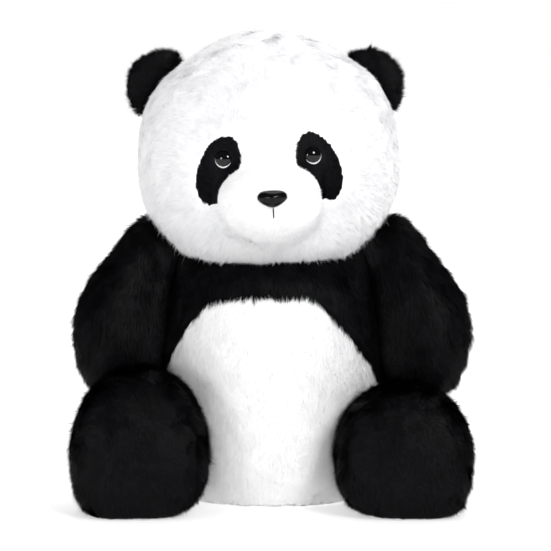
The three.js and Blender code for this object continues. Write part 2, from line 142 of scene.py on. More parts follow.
def cell_noise(cells: np.ndarray, seed: int) -> np.ndarray:
    """Three repeatable values from 0 to 1 for each whole-numbered cell.

    Args:
        cells: Whole numbers, three to a cell.
        seed: Picks another set of values.

    Returns:
        The values, three to a cell.
    """
    cells = cells.astype(np.uint64)
    mixed = cells[:, 0] * np.uint64(MIXERS[0]) ^ cells[:, 1] * np.uint64(MIXERS[1])
    mixed = mixed ^ cells[:, 2] * np.uint64(MIXERS[2]) ^ np.uint64(seed * MIXERS[3])
    values = []
    for _ in range(3):
        mixed = (mixed ^ (mixed >> np.uint64(15))) * STIRRERS[0] & LOW_BITS
        mixed = (mixed ^ (mixed >> np.uint64(13))) * STIRRERS[1] & LOW_BITS
        values.append((mixed >> np.uint64(8)).astype(float) / 2**24)
    return np.stack(values, axis=1)


def locks(points: np.ndarray, size: float, seed: int) -> tuple[np.ndarray, np.ndarray]:
    """Sorts roots into locks of fur.

    Args:
        points: The roots, in millimetres.
        size: The distance between the locks.
        seed: Picks the locks.

    Returns:
        The middle of each root's lock, and three values from 0 to 1 that its lock shares.
    """
    cell = np.floor(points / size).astype(np.int64) + 4096
    nearest = np.full(len(points), np.inf)
    middle, share = np.zeros_like(points), np.zeros_like(points)
    for offset in itertools.product((-1, 0, 1), repeat=3):
        at = cell + np.array(offset)
        noise = cell_noise(at, seed)
        centre = (at - 4096 + noise) * size
        gap = np.sum((points - centre) ** 2, axis=1)
        closer = gap < nearest
        nearest[closer] = gap[closer]
        middle[closer] = centre[closer]
        share[closer] = noise[closer]
    return middle, (share * 7.31) % 1.0


def moved_by(matrix: Matrix, points: np.ndarray) -> np.ndarray:
    """Points in millimetres, carried by a matrix in metres."""
    table = np.array(matrix)
    return points @ table[:3, :3].T + table[:3, 3] / MM


# ---------------------------------------------------------------- finishes


def srgb(text: str) -> tuple[float, float, float, float]:
    """An sRGB hex colour such as #1A2B3C as a linear colour.

    Args:
        text: The colour, with its #.

    Returns:
        Its linear red, green and blue, and an alpha of 1.
    """
    values = [int(text[i : i + 2], 16) / 255 for i in (1, 3, 5)]
    linear = [v / 12.92 if v <= 0.04045 else ((v + 0.055) / 1.055) ** 2.4 for v in values]
    return (*linear, 1.0)


def add_node(
    tree: bpy.types.NodeTree, kind: str, settings: dict | None = None, inputs: dict | None = None
) -> bpy.types.Node:
    """Adds one node with its settings and its inputs.

    Args:
        tree: The node tree.
        kind: The node's type.
        settings: Attributes to set on it.
        inputs: Values, or other nodes' outputs to link, by socket name or number.

    Returns:
        The node.
    """
    node = tree.nodes.new(kind)
    for name, value in (settings or {}).items():
        setattr(node, name, value)
    for name, value in (inputs or {}).items():
        if isinstance(value, bpy.types.NodeSocket):
            tree.links.new(value, node.inputs[name])
        else:
            node.inputs[name].default_value = value
    return node


def new_material(name: str, sockets: dict) -> tuple[bpy.types.Material, bpy.types.Node]:
    """A material with the shader's plain values set on its own sockets.

    Args:
        name: The material's name.
        sockets: Values by the shader's socket name.

    Returns:
        The material and its shader.
    """
    material = bpy.data.materials.new(name)
    material.use_nodes = True
    shader = next(n for n in material.node_tree.nodes if n.type == "BSDF_PRINCIPLED")
    for socket, value in sockets.items():
        shader.inputs[socket].default_value = value
    return material, shader


def mottle(
    material: bpy.types.Material, shader: bpy.types.Node, scale: float, low: str, high: str
) -> bpy.types.Node:
    """Colours a surface with soft noise between two tones.

    Args:
        material: The material.
        shader: Its shader.
        scale: The size of a blotch in millimetres.
        low: The darker tone.
        high: The lighter tone.

    Returns:
        The place node, for other patterns to read.
    """
    tree = material.node_tree
    place = add_node(tree, "ShaderNodeTexCoord")
    noise = add_node(
        tree,
        "ShaderNodeTexNoise",
        inputs={"Vector": place.outputs["Object"], "Scale": 1 / (scale * MM), "Detail": 4.0},
    )
    ramp = add_node(tree, "ShaderNodeValToRGB", inputs={0: noise.outputs[0]})
    ramp.color_ramp.elements[0].position = 0.35
    ramp.color_ramp.elements[0].color = srgb(low)
    ramp.color_ramp.elements[1].position = 0.65
    ramp.color_ramp.elements[1].color = srgb(high)
    tree.links.new(ramp.outputs[0], shader.inputs["Base Color"])
    return place


@dataclass(frozen=True)
class FurFinish:
    """Modacrylic plush fibre: each blade has one of a few close tones.

    Attributes:
        name: What the fibre is.
        slot: The record's material slot. It is not used.
        tones: Fibre colours from the darkest to the lightest.
        roughness: How soft the fibre's shine is.
        specular: How strong it is.
    """

    name: str
    slot: str
    tones: tuple[str, ...]
    roughness: float
    specular: float

    def materials(self) -> list[bpy.types.Material]:
        """One material for each tone, made once and shared by all panels.

        Returns:
            The materials, in the order of the tones.
        """
        made = []
        for number, tone in enumerate(self.tones):
            name = f"{self.name}, tone {number + 1}"
            found = bpy.data.materials.get(name)
            if found is None:
                found, _ = new_material(
                    name,
                    {
                        "Base Color": srgb(tone),
                        "Roughness": self.roughness,
                        "Specular IOR Level": self.specular,
                    },
                )
            made.append(found)
        return made


@dataclass(frozen=True)
class KnitFinish:
    """Warp-knitted polyester backing: fine ribs that the pile is locked into.

    Attributes:
        name: What the cloth is.
        low: The darker tone of the soft blotches.
        high: The lighter tone of the soft blotches.
        pitch: The distance between ribs, drawn at four times the real 0.6 mm so that it shows.
    """

    name: str
    low: str
    high: str
    pitch: float = 2.4

    def material(self) -> bpy.types.Material:
        """The backing's material.

        Returns:
            The material.
        """
        found = bpy.data.materials.get(self.name)
        if found is not None:
            return found
        material, shader = new_material(self.name, {"Roughness": 0.95, "Specular IOR Level": 0.1})
        place = mottle(material, shader, 9.0, self.low, self.high)
        tree = material.node_tree
        ribs = add_node(
            tree,
            "ShaderNodeTexWave",
            {"bands_direction": "X"},
            {"Vector": place.outputs["Object"], "Scale": 0.314 / (self.pitch * MM), "Distortion": 1.5},
        )
        bump = add_node(
            tree,
            "ShaderNodeBump",
            inputs={"Height": ribs.outputs["Fac"], "Strength": 0.4, "Distance": 0.3 * MM},
        )
        tree.links.new(bump.outputs[0], shader.inputs["Normal"])
        return material


@dataclass(frozen=True)
class MouldedFinish:
    """Injection-moulded plastic: an even gloss with the faintest flow marks.

    Attributes:
        name: What the plastic is.
        low: The darker tone.
        high: The lighter tone.
        roughness: How polished the mould was.
        specular: How strong its own shine is.
        coat: A clear layer over it.
    """

    name: str
    low: str
    high: str
    roughness: float
    specular: float = 0.5
    coat: float = 0.0

    def material(self) -> bpy.types.Material:
        """The plastic's material.

        Returns:
            The material.
        """
        found = bpy.data.materials.get(self.name)
        if found is not None:
            return found
        material, shader = new_material(
            self.name,
            {
                "Roughness": self.roughness,
                "Specular IOR Level": self.specular,
                "Coat Weight": self.coat,
                "Coat Roughness": 0.02,
                "IOR": 1.49,
            },
        )
        mottle(material, shader, 4.0, self.low, self.high)
        return material


@dataclass(frozen=True)
class WovenFinish:
    """Plain-woven or spun cotton: crossing threads that show as a fine grid.

    Attributes:
        name: What the cloth is.
        low: The darker tone of the soft blotches.
        high: The lighter tone of the soft blotches.
        pitch: The distance between threads, in millimetres.
    """

    name: str
    low: str
    high: str
    pitch: float

    def material(self) -> bpy.types.Material:
        """The cloth's material.

        Returns:
            The material.
        """
        found = bpy.data.materials.get(self.name)
        if found is not None:
            return found
        material, shader = new_material(self.name, {"Roughness": 0.9, "Specular IOR Level": 0.2})
        place = mottle(material, shader, self.pitch * 4, self.low, self.high)
        tree = material.node_tree
        threads = [
            add_node(
                tree,
                "ShaderNodeTexWave",
                {"bands_direction": direction},
                {"Vector": place.outputs["Object"], "Scale": 0.314 / (self.pitch * MM)},
            )
            for direction in ("X", "Z")
        ]
        grid = add_node(
            tree,
            "ShaderNodeMath",
            {"operation": "MAXIMUM"},
            {0: threads[0].outputs["Fac"], 1: threads[1].outputs["Fac"]},
        )
        bump = add_node(
            tree,
            "ShaderNodeBump",
            inputs={"Height": grid.outputs[0], "Strength": 0.5, "Distance": 0.2 * MM},
        )
        tree.links.new(bump.outputs[0], shader.inputs["Normal"])
        return material


# Every fibre scatters the light softly, so the long white pile shines without a hot spot.
WHITE_FUR = FurFinish(
    "white long-pile fibre", "white_fur", ("#E8E8EB", "#F3F3F5", "#FAFAFB", "#FFFFFF"), 0.6, 0.25
)
# Shorter and denser, the belly's pile looks smoother and whiter.
BELLY_FUR = FurFinish(
    "white medium-pile fibre", "white_belly_fur", ("#F5F5F7", "#F9F9FA", "#FCFCFC", "#FFFFFF"), 0.6, 0.25
)
# Clipped fibre shows its cut ends, which are more matt than its sides.
CLIPPED_WHITE = FurFinish(
    "white clipped fibre", "white_clipped_fur", ("#F0F0F1", "#F6F6F7", "#FCFCFC", "#FFFFFF"), 0.65, 0.2
)
# Dyed in the mass, the black fibre is faintly blue and only its tips catch the light.
BLACK_FUR = FurFinish(
    "black long-pile fibre", "black_fur", ("#030304", "#040406", "#07070A", "#101014"), 0.5, 0.09
)
CLIPPED_BLACK = FurFinish(
    "black clipped fibre", "black_clipped_fur", ("#040406", "#060609", "#0B0B10", "#121218"), 0.55, 0.12
)
# The knitted backing shows only as a soft tone between the roots.
WHITE_KNIT = KnitFinish("white knitted backing", "#E6E6E6", "#F6F6F6")
BLACK_KNIT = KnitFinish("black knitted backing", "#030304", "#08080A")
# Acrylic from a polished mould mirrors the lamps as small sharp lights.
EYE_BLACK = MouldedFinish(
    "polished black acrylic", "#010101", "#020202", roughness=0.03, specular=0.36, coat=0.1
)
# Enamel painted under the lens stays a clean, even white.
EYE_WHITE = MouldedFinish("white eye enamel", "#F4F4F6", "#FFFFFF", roughness=0.15)
# The nose comes from a slightly duller mould, which spreads its highlight.
NOSE_BLACK = MouldedFinish(
    "gloss black nose plastic", "#010101", "#030303", roughness=0.24, specular=0.22
)
# Unpigmented polypropylene is milky and waxy.
MILKY = MouldedFinish("milky polypropylene", "#C9C9C1", "#DADAD2", roughness=0.45)
# Spun yarns and fibres show their threads as fine ribs.
THREAD = WovenFinish("black embroidery thread", "#040404", "#101010", pitch=0.5)
CALICO = WovenFinish("unbleached calico", "#B9AB8C", "#D8CDB2", pitch=1.2)
FIBRE = WovenFinish("polyester fibre filling", "#D3D5D8", "#F0F2F4", pitch=3.0)


# ---------------------------------------------------------------- meshes


def new_object(name: str, mesh: bpy.types.Mesh) -> bpy.types.Object:
    """A named object at the origin that shows the mesh.

    Args:
        name: The object's name.
        mesh: Its mesh.

    Returns:
        The object, linked to the scene.
    """
    made = bpy.data.objects.new(name, mesh)
    bpy.context.scene.collection.objects.link(made)
    return made


def finished(name: str, shape: bmesh.types.BMesh) -> bpy.types.Object:
    """A smooth-shaded object from a bmesh, which is freed.

    Args:
        name: The object's name.
        shape: The bmesh, in metres.

    Returns:
        The object.
    """
    mesh = bpy.data.meshes.new(name)
    shape.to_mesh(mesh)
    shape.free()
    mesh.shade_smooth()
    return new_object(name, mesh)


def settle(piece: bpy.types.Object) -> None:
    """Applies every modifier of a piece to its mesh.

    Args:
        piece: The piece, left with no modifiers.
    """
    evaluated = piece.evaluated_get(bpy.context.evaluated_depsgraph_get())
    mesh = bpy.data.meshes.new_from_object(evaluated)
    piece.modifiers.clear()
    old = piece.data
    piece.data = mesh
    bpy.data.meshes.remove(old)
    mesh.name = piece.name


def points_of(mesh: bpy.types.Mesh) -> np.ndarray:
    """A mesh's vertices in millimetres.

    Args:
        mesh: The mesh, in metres.

    Returns:
        Its vertices, one in each row.
    """
    flat = np.empty(len(mesh.vertices) * 3, np.float32)
    mesh.vertices.foreach_get("co", flat)
    return flat.reshape(-1, 3).astype(float) / MM


def set_points(mesh: bpy.types.Mesh, points: np.ndarray) -> None:
    """Moves a mesh's vertices to points in millimetres."""
    mesh.vertices.foreach_set("co", (points * MM).astype(np.float32).ravel())
    mesh.update()


def normals_of(mesh: bpy.types.Mesh) -> np.ndarray:
    """A mesh's vertex normals.

    Args:
        mesh: The mesh.

    Returns:
        One direction for each vertex.
    """
    flat = np.empty(len(mesh.vertices) * 3, np.float32)
    mesh.vertex_normals.foreach_get("vector", flat)
    return flat.reshape(-1, 3).astype(float)


def smoothed(piece: bpy.types.Object, times: int) -> None:
    """Relaxes a form's surface.

    Args:
        piece: The form.
        times: How many times it is relaxed.
    """
    shape = bmesh.new()
    shape.from_mesh(piece.data)
    for _ in range(times):
        bmesh.ops.smooth_vert(
            shape, verts=shape.verts, factor=0.5, use_axis_x=True, use_axis_y=True, use_axis_z=True
        )
    shape.to_mesh(piece.data)
    shape.free()


class PanelMap:
    """Finds the sewn panel that lies nearest to a place."""

    def __init__(self, nodes: tuple[str, ...]) -> None:
        """Reads the panels' CAD shapes.

        Args:
            nodes: The panels' CAD names, in the order of their numbers.
        """
        corners: list[Vector] = []
        faces: list[tuple[int, ...]] = []
        self.nodes = nodes
        self.owner: list[int] = []
        for number, node in enumerate(nodes):
            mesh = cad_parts[node].data
            start = len(corners)
            corners.extend(v.co.copy() for v in mesh.vertices)
            faces.extend(tuple(start + i for i in p.vertices) for p in mesh.polygons)
            self.owner.extend([number] * len(mesh.polygons))
        self.tree = BVHTree.FromPolygons(corners, faces)

    def nearest(self, points: np.ndarray) -> np.ndarray:
        """The number of the nearest panel for each point in millimetres."""
        find = self.tree.find_nearest
        return np.array([self.owner[find(p)[2]] for p in (points * MM).tolist()])


# ---------------------------------------------------------------- fur

# How single blades differ from their lock: the share that stands out of it, longer and steeper,
# and how far a blade turns about its own length, in radians.
WILD = 0.035
TURN = 0.4
# A tip stays above the backing by at least this share of its blade's length.
LEAST_RISE = 0.18
# The size of the soft blotches of tone, in millimetres.
BLOTCH = 22.0


@dataclass(frozen=True)
class Pile:
    """How one fur grows.

    Attributes:
        finish: The fibre.
        density: Blades for each square millimetre.
        width: A blade's width at its root.
        lift: How far the blades stand up, from 0, flat, to 1, upright.
        droop: How much their own weight bends them down.
        lock: The distance between locks of fur.
        gather: How far a lock's tips draw together, from 0 to 1.
        stray: How untidy single blades are.
        even: How far a blade takes its shade from the cloth under it, from 0 to 1.
    """

    finish: FurFinish
    density: float
    width: float
    lift: float
    droop: float
    lock: float
    gather: float
    stray: float
    even: float


def grow(
    name: str,
    pile: Pile,
    roots: np.ndarray,
    normals: np.ndarray,
    comb: np.ndarray,
    length: np.ndarray,
    seed: int,
) -> bpy.types.Object:
    """Makes the fur of one panel. No operator grows blades, so their corners are worked out here.

    Args:
        name: The piece's name.
        pile: How the fur grows.
        roots: Where each blade starts, in millimetres.
        normals: The backing's outward direction there.
        comb: The direction in which the fur is brushed.
        length: Each blade's length.
        seed: Fixes the random draws.

    Returns:
        The fur as one mesh.
    """
    rng = np.random.default_rng(seed)
    count = len(roots)
    middle, shared = locks(roots, pile.lock, seed)
    along = unit(flat_on(comb, normals) + 1e-6)
    length = length * (0.78 + 0.3 * shared[:, :1].ravel()) * rng.uniform(0.75, 1.1, count)
    wild = rng.random(count) < WILD
    length = np.where(wild, length * 1.2, length)
    lift = np.clip(pile.lift + rng.normal(0, 0.1, count) + wild * 0.2, 0.12, 0.98)[:, None]
    way = normals * lift + along * np.sqrt(1 - lift**2)
    way += rng.normal(0, pile.stray, (count, 3)) + (shared - 0.5) * pile.stray * 2.4
    way = unit(way)

    # The tips of a lock draw together, and none goes under the cloth.
    pull = flat_on(middle - roots, normals) * pile.gather
    tip_way = unit(way + DOWN * pile.droop)
    tip = roots + tip_way * length[:, None] + pull
    rise = np.sum((tip - roots) * normals, axis=1)
    tip += normals * np.maximum(LEAST_RISE * length - rise, 0)[:, None]

    # A blade is a flat sliver, wound so that its face looks outwards.
    side = unit(np.cross(way, normals) + 1e-6)
    roll = rng.normal(0, TURN, count)[:, None]
    side = side * np.cos(roll) + np.cross(way, side) * np.sin(roll)
    half = side * (pile.width * rng.uniform(0.35, 0.65, count))[:, None]
    face = np.cross(half, tip - roots)
    half *= np.where(np.sum(face * normals, axis=1) < 0, -1.0, 1.0)[:, None]
    face = unit(np.cross(half, tip - roots))
    facing = unit(normals * pile.even + face * (1 - pile.even) + rng.normal(0, 0.03, (count, 3)))

    # Its tone comes from its lock, from a soft blotch, and from chance.
    tones = len(pile.finish.tones)
    blotch = wander(roots, BLOTCH, seed + 7)[:, 0] * 0.35
    tone = (shared[:, 1] - 0.5) * 1.2 + blotch + rng.normal(0, 0.55, count) + (tones - 2) / 2 + 0.3
    tone = np.clip(np.round(tone), 0, tones - 2).astype(np.int32)
    tone += rng.random(count) < 0.5

    corners = np.stack([roots - half, roots + half, tip], axis=1)
    corners[:, :, 2] = np.maximum(corners[:, :, 2], FLOOR_GAP)

    mesh = bpy.data.meshes.new(name)
    mesh.vertices.add(count * 3)
    mesh.vertices.foreach_set("co", (corners * MM).astype(np.float32).ravel())
    mesh.loops.add(count * 3)
    mesh.loops.foreach_set("vertex_index", np.arange(count * 3, dtype=np.int32))
    mesh.polygons.add(count)
    mesh.polygons.foreach_set("loop_start", np.arange(0, count * 3, 3, dtype=np.int32))
    mesh.polygons.foreach_set("loop_total", np.full(count, 3, np.int32))
    mesh.polygons.foreach_set("material_index", tone)
    mesh.update(calc_edges=True)
    mesh.shade_smooth()
    mesh.normals_split_custom_set_from_vertices(np.repeat(facing, 3, axis=0).astype(np.float32))
    for material in pile.finish.materials():
        mesh.materials.append(material)
    made = new_object(name, mesh)
    return made


# ---------------------------------------------------------------- stuffed bodies


# How hard the stuffing presses the cloth out in the simulation, and for how many frames.
PRESSURE = 4.0
FRAMES = 20


@dataclass
class StuffedBody:
    """A sewn skin full of fibre: one padded form, with a piece of fur for each panel.

    Attributes:
        body: The CAD body that it moves with.
        name: The form's name.
        filled: The stuffing nodes that the form stands for.
        panels: Each panel's CAD node with its pile.
        extra: Other nodes whose outside shapes the form.
        fill: How tightly it is stuffed, from 0 to 1. It is not used.
        voxel: The remesh size, in millimetres.
        swell: The most that the stuffing pushes the cloth out.
        drawn_in: How deep the backing lies under the fur's outside, as a share of its length.
        seed: Fixes the random draws.
    """

    body: str
    name: str
    filled: tuple[str, ...]
    panels: dict[str, Pile]
    extra: tuple[str, ...] = ()
    fill: float = 0.9
    voxel: float = 5.0
    swell: float = 3.0
    drawn_in: float = 0.55
    seed: int = 1

    def sculpt(self, points: np.ndarray) -> np.ndarray:
        """Moves the form's outside to where the soft shape settles."""
        return points

    def pile_length(self, points: np.ndarray, panel: np.ndarray) -> np.ndarray:
        """The fur's length at each point, in millimetres."""
        raise NotImplementedError

    def comb(self, points: np.ndarray, normals: np.ndarray, panel: np.ndarray) -> np.ndarray:
        """The direction in which the fur is brushed at each point."""
        raise NotImplementedError

    def choose(self, points: np.ndarray) -> np.ndarray:
        """The number of the panel that each point belongs to."""
        return self.map.nearest(points)

    def bare(self, points: np.ndarray) -> np.ndarray:
        """Whether nothing grows at each point."""
        return np.zeros(len(points), bool)

    def build(self) -> None:
        """Makes the form and all its fur."""
        self.map = PanelMap(tuple(self.panels))
        form = self.stuff()
        self.dress(form)
        total = self.cover(form)
        LOG.info("%s: form %d faces, fur %d blades", self.name, len(form.data.polygons), total)

    def stuff(self) -> bpy.types.Object:
        """The stuffed form: the CAD outside, drawn in by the pile's depth and puffed out again.

        Returns:
            The form, on the floor or above it.
        """
        shape = bmesh.new()
        for node in (*self.panels, *self.filled, *self.extra):
            shape.from_mesh(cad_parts[node].data)
        bmesh.ops.remove_doubles(shape, verts=shape.verts, dist=0.01 * MM)
        form = finished(self.name, shape)
        remesh = form.modifiers.new("Even cloth", "REMESH")
        remesh.mode = "VOXEL"
        remesh.voxel_size = self.voxel * MM
        settle(form)
        smoothed(form, 3)
        set_points(form.data, self.sculpt(points_of(form.data)))
        smoothed(form, 2)
        points = points_of(form.data)
        depth = self.drawn_in * self.pile_length(points, self.choose(points))
        set_points(form.data, points - normals_of(form.data) * depth[:, None])
        smoothed(form, 3)
        self.puff(form)
        smooth = form.modifiers.new("Smooth cloth", "SUBSURF")
        smooth.levels = smooth.render_levels = 1
        settle(form)
        points = points_of(form.data)
        points[:, 2] = np.maximum(points[:, 2], FLOOR_GAP)
        set_points(form.data, points)
        form.data.shade_smooth()
        return form

    def puff(self, form: bpy.types.Object) -> None:
        """Presses the cloth out from inside, as stuffing does, by no more than the swell.

        Args:
            form: The closed form, with an even mesh.
        """
        start = points_of(form.data)
        cloth = form.modifiers.new("Stuffing", "CLOTH")
        cloth.settings.use_pressure = True
        cloth.settings.uniform_pressure_force = PRESSURE
        cloth.settings.effector_weights.gravity = 0.0
        cloth.point_cache.frame_end = FRAMES
        scene = bpy.context.scene
        for number in range(1, FRAMES + 1):
            scene.frame_set(number)
        settle(form)
        scene.frame_set(1)
        moved = points_of(form.data) - start
        far = np.linalg.norm(moved, axis=1, keepdims=True)
        set_points(form.data, start + moved * np.minimum(1.0, self.swell / np.maximum(far, 1e-6)))

    def dress(self, form: bpy.types.Object) -> None:
        """Gives the form its backing and its place on the frame.

        Args:
            form: The finished form.
        """
        self.dye(form)
        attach(form, self.body)
        next(iter(self.panels.values())).finish.slot
        if self.filled:
            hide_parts(*self.filled)

    def dye(self, form: bpy.types.Object) -> None:
        """Gives the backing under dark panels its dark knit, and the rest its pale one.

        Args:
            form: The finished form.
        """
        mesh = form.data
        centres = np.empty(len(mesh.polygons) * 3, np.float32)
        mesh.polygons.foreach_get("center", centres)
        panel = self.choose(centres.reshape(-1, 3).astype(float) / MM)
        dark = [pile.finish in (BLACK_FUR, CLIPPED_BLACK) for pile in self.panels.values()]
        mesh.materials.clear()
        for knit in (WHITE_KNIT, BLACK_KNIT):
            mesh.materials.append(knit.material())
        mesh.polygons.foreach_set("material_index", np.array(dark, np.int32)[panel])
        mesh.update()

    def cover(self, form: bpy.types.Object) -> int:
        """Grows the fur of every panel.

        Args:
            form: The form that it grows on.

        Returns:
            The number of blades.
        """
        rng = np.random.default_rng(self.seed)
        mesh = form.data
        mesh.calc_loop_triangles()
        corners = np.empty(len(mesh.loop_triangles) * 3, np.int32)
        mesh.loop_triangles.foreach_get("vertices", corners)
        corners = corners.reshape(-1, 3)
        points, normals = points_of(mesh), normals_of(mesh)
        a, b, c = points[corners[:, 0]], points[corners[:, 1]], points[corners[:, 2]]
        area = np.linalg.norm(np.cross(b - a, c - a), axis=1) / 2
        piles = list(self.panels.values())
        most = max(pile.density for pile in piles)
        count = int(area.sum() * most)
        pick = np.searchsorted(np.cumsum(area), rng.random(count) * area.sum())
        pick = np.minimum(pick, len(area) - 1)
        u, v = rng.random(count), rng.random(count)
        over = u + v > 1
        u[over], v[over] = 1 - u[over], 1 - v[over]
        weights = np.stack([1 - u - v, u, v], axis=1)[:, :, None]
        roots = (points[corners[pick]] * weights).sum(axis=1)
        outward = unit((normals[corners[pick]] * weights).sum(axis=1))
        panel = self.choose(roots)
        share = np.array([pile.density for pile in piles])[panel] / most
        keep = (rng.random(count) < share) & ~self.bare(roots)
        roots, outward, panel = roots[keep], outward[keep], panel[keep]
        length = self.pile_length(roots, panel)
        comb = self.comb(roots, outward, panel)
        for number, (node, pile) in enumerate(self.panels.items()):
            here = panel == number
            name = node.replace("_panel", "") + "_fur"
            fur = grow(
                name, pile, roots[here], outward[here], comb[here], length[here], self.seed * 100 + number
            )
            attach(fur, self.body)
            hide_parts(node)
            LOG.info("%s: %d blades", name, int(here.sum()))
        return len(roots)


LONG_WHITE = Pile(
    WHITE_FUR, density=2.8, width=0.62, lift=0.32, droop=0.2, lock=4.5, gather=0.12, stray=0.05, even=0.97
)
BELLY_PILE = Pile(
    BELLY_FUR, density=2.8, width=0.66, lift=0.26, droop=0.12, lock=4.5, gather=0.06, stray=0.04, even=0.98
)
MUZZLE_PILE = Pile(
    CLIPPED_WHITE, density=4.0, width=0.7, lift=0.38, droop=0.05, lock=3.0, gather=0.05, stray=0.06, even=0.96
)
PATCH_PILE = Pile(
    CLIPPED_BLACK, density=4.0, width=0.6, lift=0.5, droop=0.1, lock=3.0, gather=0.04, stray=0.06, even=0.7
)
LONG_BLACK = Pile(
    BLACK_FUR, density=1.9, width=0.66, lift=0.46, droop=0.22, lock=5.5, gather=0.24, stray=0.08, even=0.75
)
LEG_BLACK = Pile(
    BLACK_FUR, density=1.8, width=0.66, lift=0.52, droop=0.14, lock=5.0, gather=0.2, stray=0.08, even=0.75
)
SOLE_BLACK = Pile(
    BLACK_FUR, density=2.1, width=0.62, lift=0.48, droop=0.12, lock=4.5, gather=0.18, stray=0.08, even=0.75
)
EAR_BLACK = Pile(
    BLACK_FUR, density=2.6, width=0.6, lift=0.62, droop=0.08, lock=4.0, gather=0.24, stray=0.12, even=0.75
)
SEAT_WHITE = Pile(
    WHITE_FUR, density=0.7, width=1.0, lift=0.3, droop=0.1, lock=7.0, gather=0.2, stray=0.1, even=0.9
)
BACK_WHITE = Pile(
    WHITE_FUR, density=1.8, width=0.7, lift=0.4, droop=0.22, lock=5.5, gather=0.22, stray=0.08, even=0.88
)


@dataclass
class Head(StuffedBody):
    """The head with its muzzle and eye patches, in its own unturned frame.

    Attributes:
        face: The middle of the face, from which the fur is brushed outwards.
        patch: An eye patch's middle, as its distance from the middle line and its height.
        patch_half: Half the patch's width and height.
        patch_slant: How far its top leans inwards, in degrees.
        eye: An eye's distance from the middle line and its height.
        eye_bare: The bald spot under an eye.
        muzzle: Half the width and height of the clipped round of the muzzle.
        nose: The nose's distance from the middle line and its height.
        sag: How far the lower cheeks hang.
        cheeks: How much wider they are.
        crown: How much narrower the top is.
    """

    face: tuple[float, float, float] = (0.0, -112.0, 303.0)
    patch: tuple[float, float] = (46.0, 319.0)
    patch_half: tuple[float, float] = (19.0, 33.0)
    patch_slant: float = 22.0
    eye: tuple[float, float] = (41.0, 329.0)
    eye_bare: float = 7.6
    muzzle: tuple[float, float] = (47.0, 34.0)
    nose: tuple[float, float] = (2.0, 291.8)
    sag: float = 15.0
    cheeks: float = 0.035
    crown: float = 0.13

    def sculpt(self, points: np.ndarray) -> np.ndarray:
        """Lets the heavy lower cheeks sag over the shoulders, but not the firm chin.

        Args:
            points: Places in millimetres, one in each row.

        Returns:
            Where the points settle.
        """
        q = self.local(points)
        low = smoothstep(0.0, 105.0, 341.0 - q[:, 2])
        cheek = np.exp(-(((q[:, 2] - 300.0) / 32.0) ** 2))
        crown = smoothstep(395.0, 445.0, q[:, 2])
        chin = np.exp(-((q[:, 0] / 52.0) ** 2)) * smoothstep(-75.0, -105.0, q[:, 1])
        chin *= smoothstep(246.0, 268.0, q[:, 2])
        hang = low * smoothstep(60.0, -40.0, q[:, 1]) * (1 - 0.8 * chin)
        q[:, 2] -= self.sag * hang
        q[:, 1] -= 9.0 * hang**2
        q[:, 0] *= 1 + self.cheeks * cheek - self.crown * crown
        return moved_by(HEAD_REST, q)

    def local(self, points: np.ndarray) -> np.ndarray:
        """Points in the head's unturned frame."""
        return moved_by(HEAD_REST.inverted(), points)

    def patch_side(self, q: np.ndarray) -> np.ndarray:
        """How deep inside a patch's bean outline each point is: below 1 is inside.

        Args:
            q: Places in the head's unturned frame, one in each row.

        Returns:
            How far out each is, with 1 at the outline.
        """
        side = np.sign(q[:, 0])
        slant = math.radians(self.patch_slant)
        x = side * q[:, 0] - self.patch[0]
        z = q[:, 2] - self.patch[1]
        across = x * math.cos(slant) + z * math.sin(slant)
        up = -x * math.sin(slant) + z * math.cos(slant)
        ragged = wander(q, 6.0, 41)[:, 0] * 0.018
        reach = (across / self.patch_half[0]) ** 2 + (up / self.patch_half[1]) ** 2
        return np.where(q[:, 1] < -30, np.sqrt(reach) + ragged, 9.0)

    def choose(self, points: np.ndarray) -> np.ndarray:
        """The nearest panel, with each patch's own outline over it.

        Args:
            points: Places in millimetres, one in each row.

        Returns:
            The number of the panel that each point belongs to.
        """
        names = list(self.panels)
        found = self.map.nearest(points)
        q = self.local(points)
        muzzle = np.isin(found, [names.index("muzzle_panel"), names.index("chin_panel")])
        patches = [names.index("left_eye_patch"), names.index("right_eye_patch")]
        side = [names.index("head_left_side_panel"), names.index("head_right_side_panel")]
        left = q[:, 0] > 0
        found = np.where(np.isin(found, patches), np.where(left, side[0], side[1]), found)
        round_muzzle = np.hypot(q[:, 0] / self.muzzle[0], (q[:, 2] - 292) / self.muzzle[1]) < 1
        spare = muzzle & ~round_muzzle
        found = np.where(spare, np.where(left, side[0], side[1]), found)
        muzzle &= round_muzzle
        inside = (self.patch_side(q) < 1) & ~muzzle & ~round_muzzle
        clipped = round_muzzle & ~muzzle & (q[:, 1] < -60)
        cap = np.where(q[:, 2] > 279, names.index("muzzle_panel"), names.index("chin_panel"))
        found = np.where(clipped, cap, found)
        return np.where(inside, np.where(left, patches[0], patches[1]), found)

    def pile_length(self, points: np.ndarray, panel: np.ndarray) -> np.ndarray:
        """Clipped on the muzzle and patches, short round the face, long at the cheeks and nape.

        Args:
            points: Places in millimetres, one in each row.
            panel: The number of the panel that each point is on.

        Returns:
            The length of the fur at each point, in millimetres.
        """
        names = list(self.panels)
        q = self.local(points)
        away = np.linalg.norm(q - np.array(self.face), axis=1)
        low = smoothstep(-10.0, 80.0, 341.0 - q[:, 2])
        length = 4.0 + 2.5 * smoothstep(45.0, 120.0, away) + 8.0 * low * smoothstep(50.0, 100.0, away)
        length *= 1 + 0.1 * wander(q, 30.0, 11)[:, 0]
        trimmed = 1 - smoothstep(1.02, 1.3, self.patch_side(q))
        length += (2.6 - length) * trimmed
        clipped = {"muzzle_panel": 2.2, "chin_panel": 2.8, "left_eye_patch": 3.0, "right_eye_patch": 3.0}
        for node, short in clipped.items():
            length = np.where(panel == names.index(node), short, length)
        return length

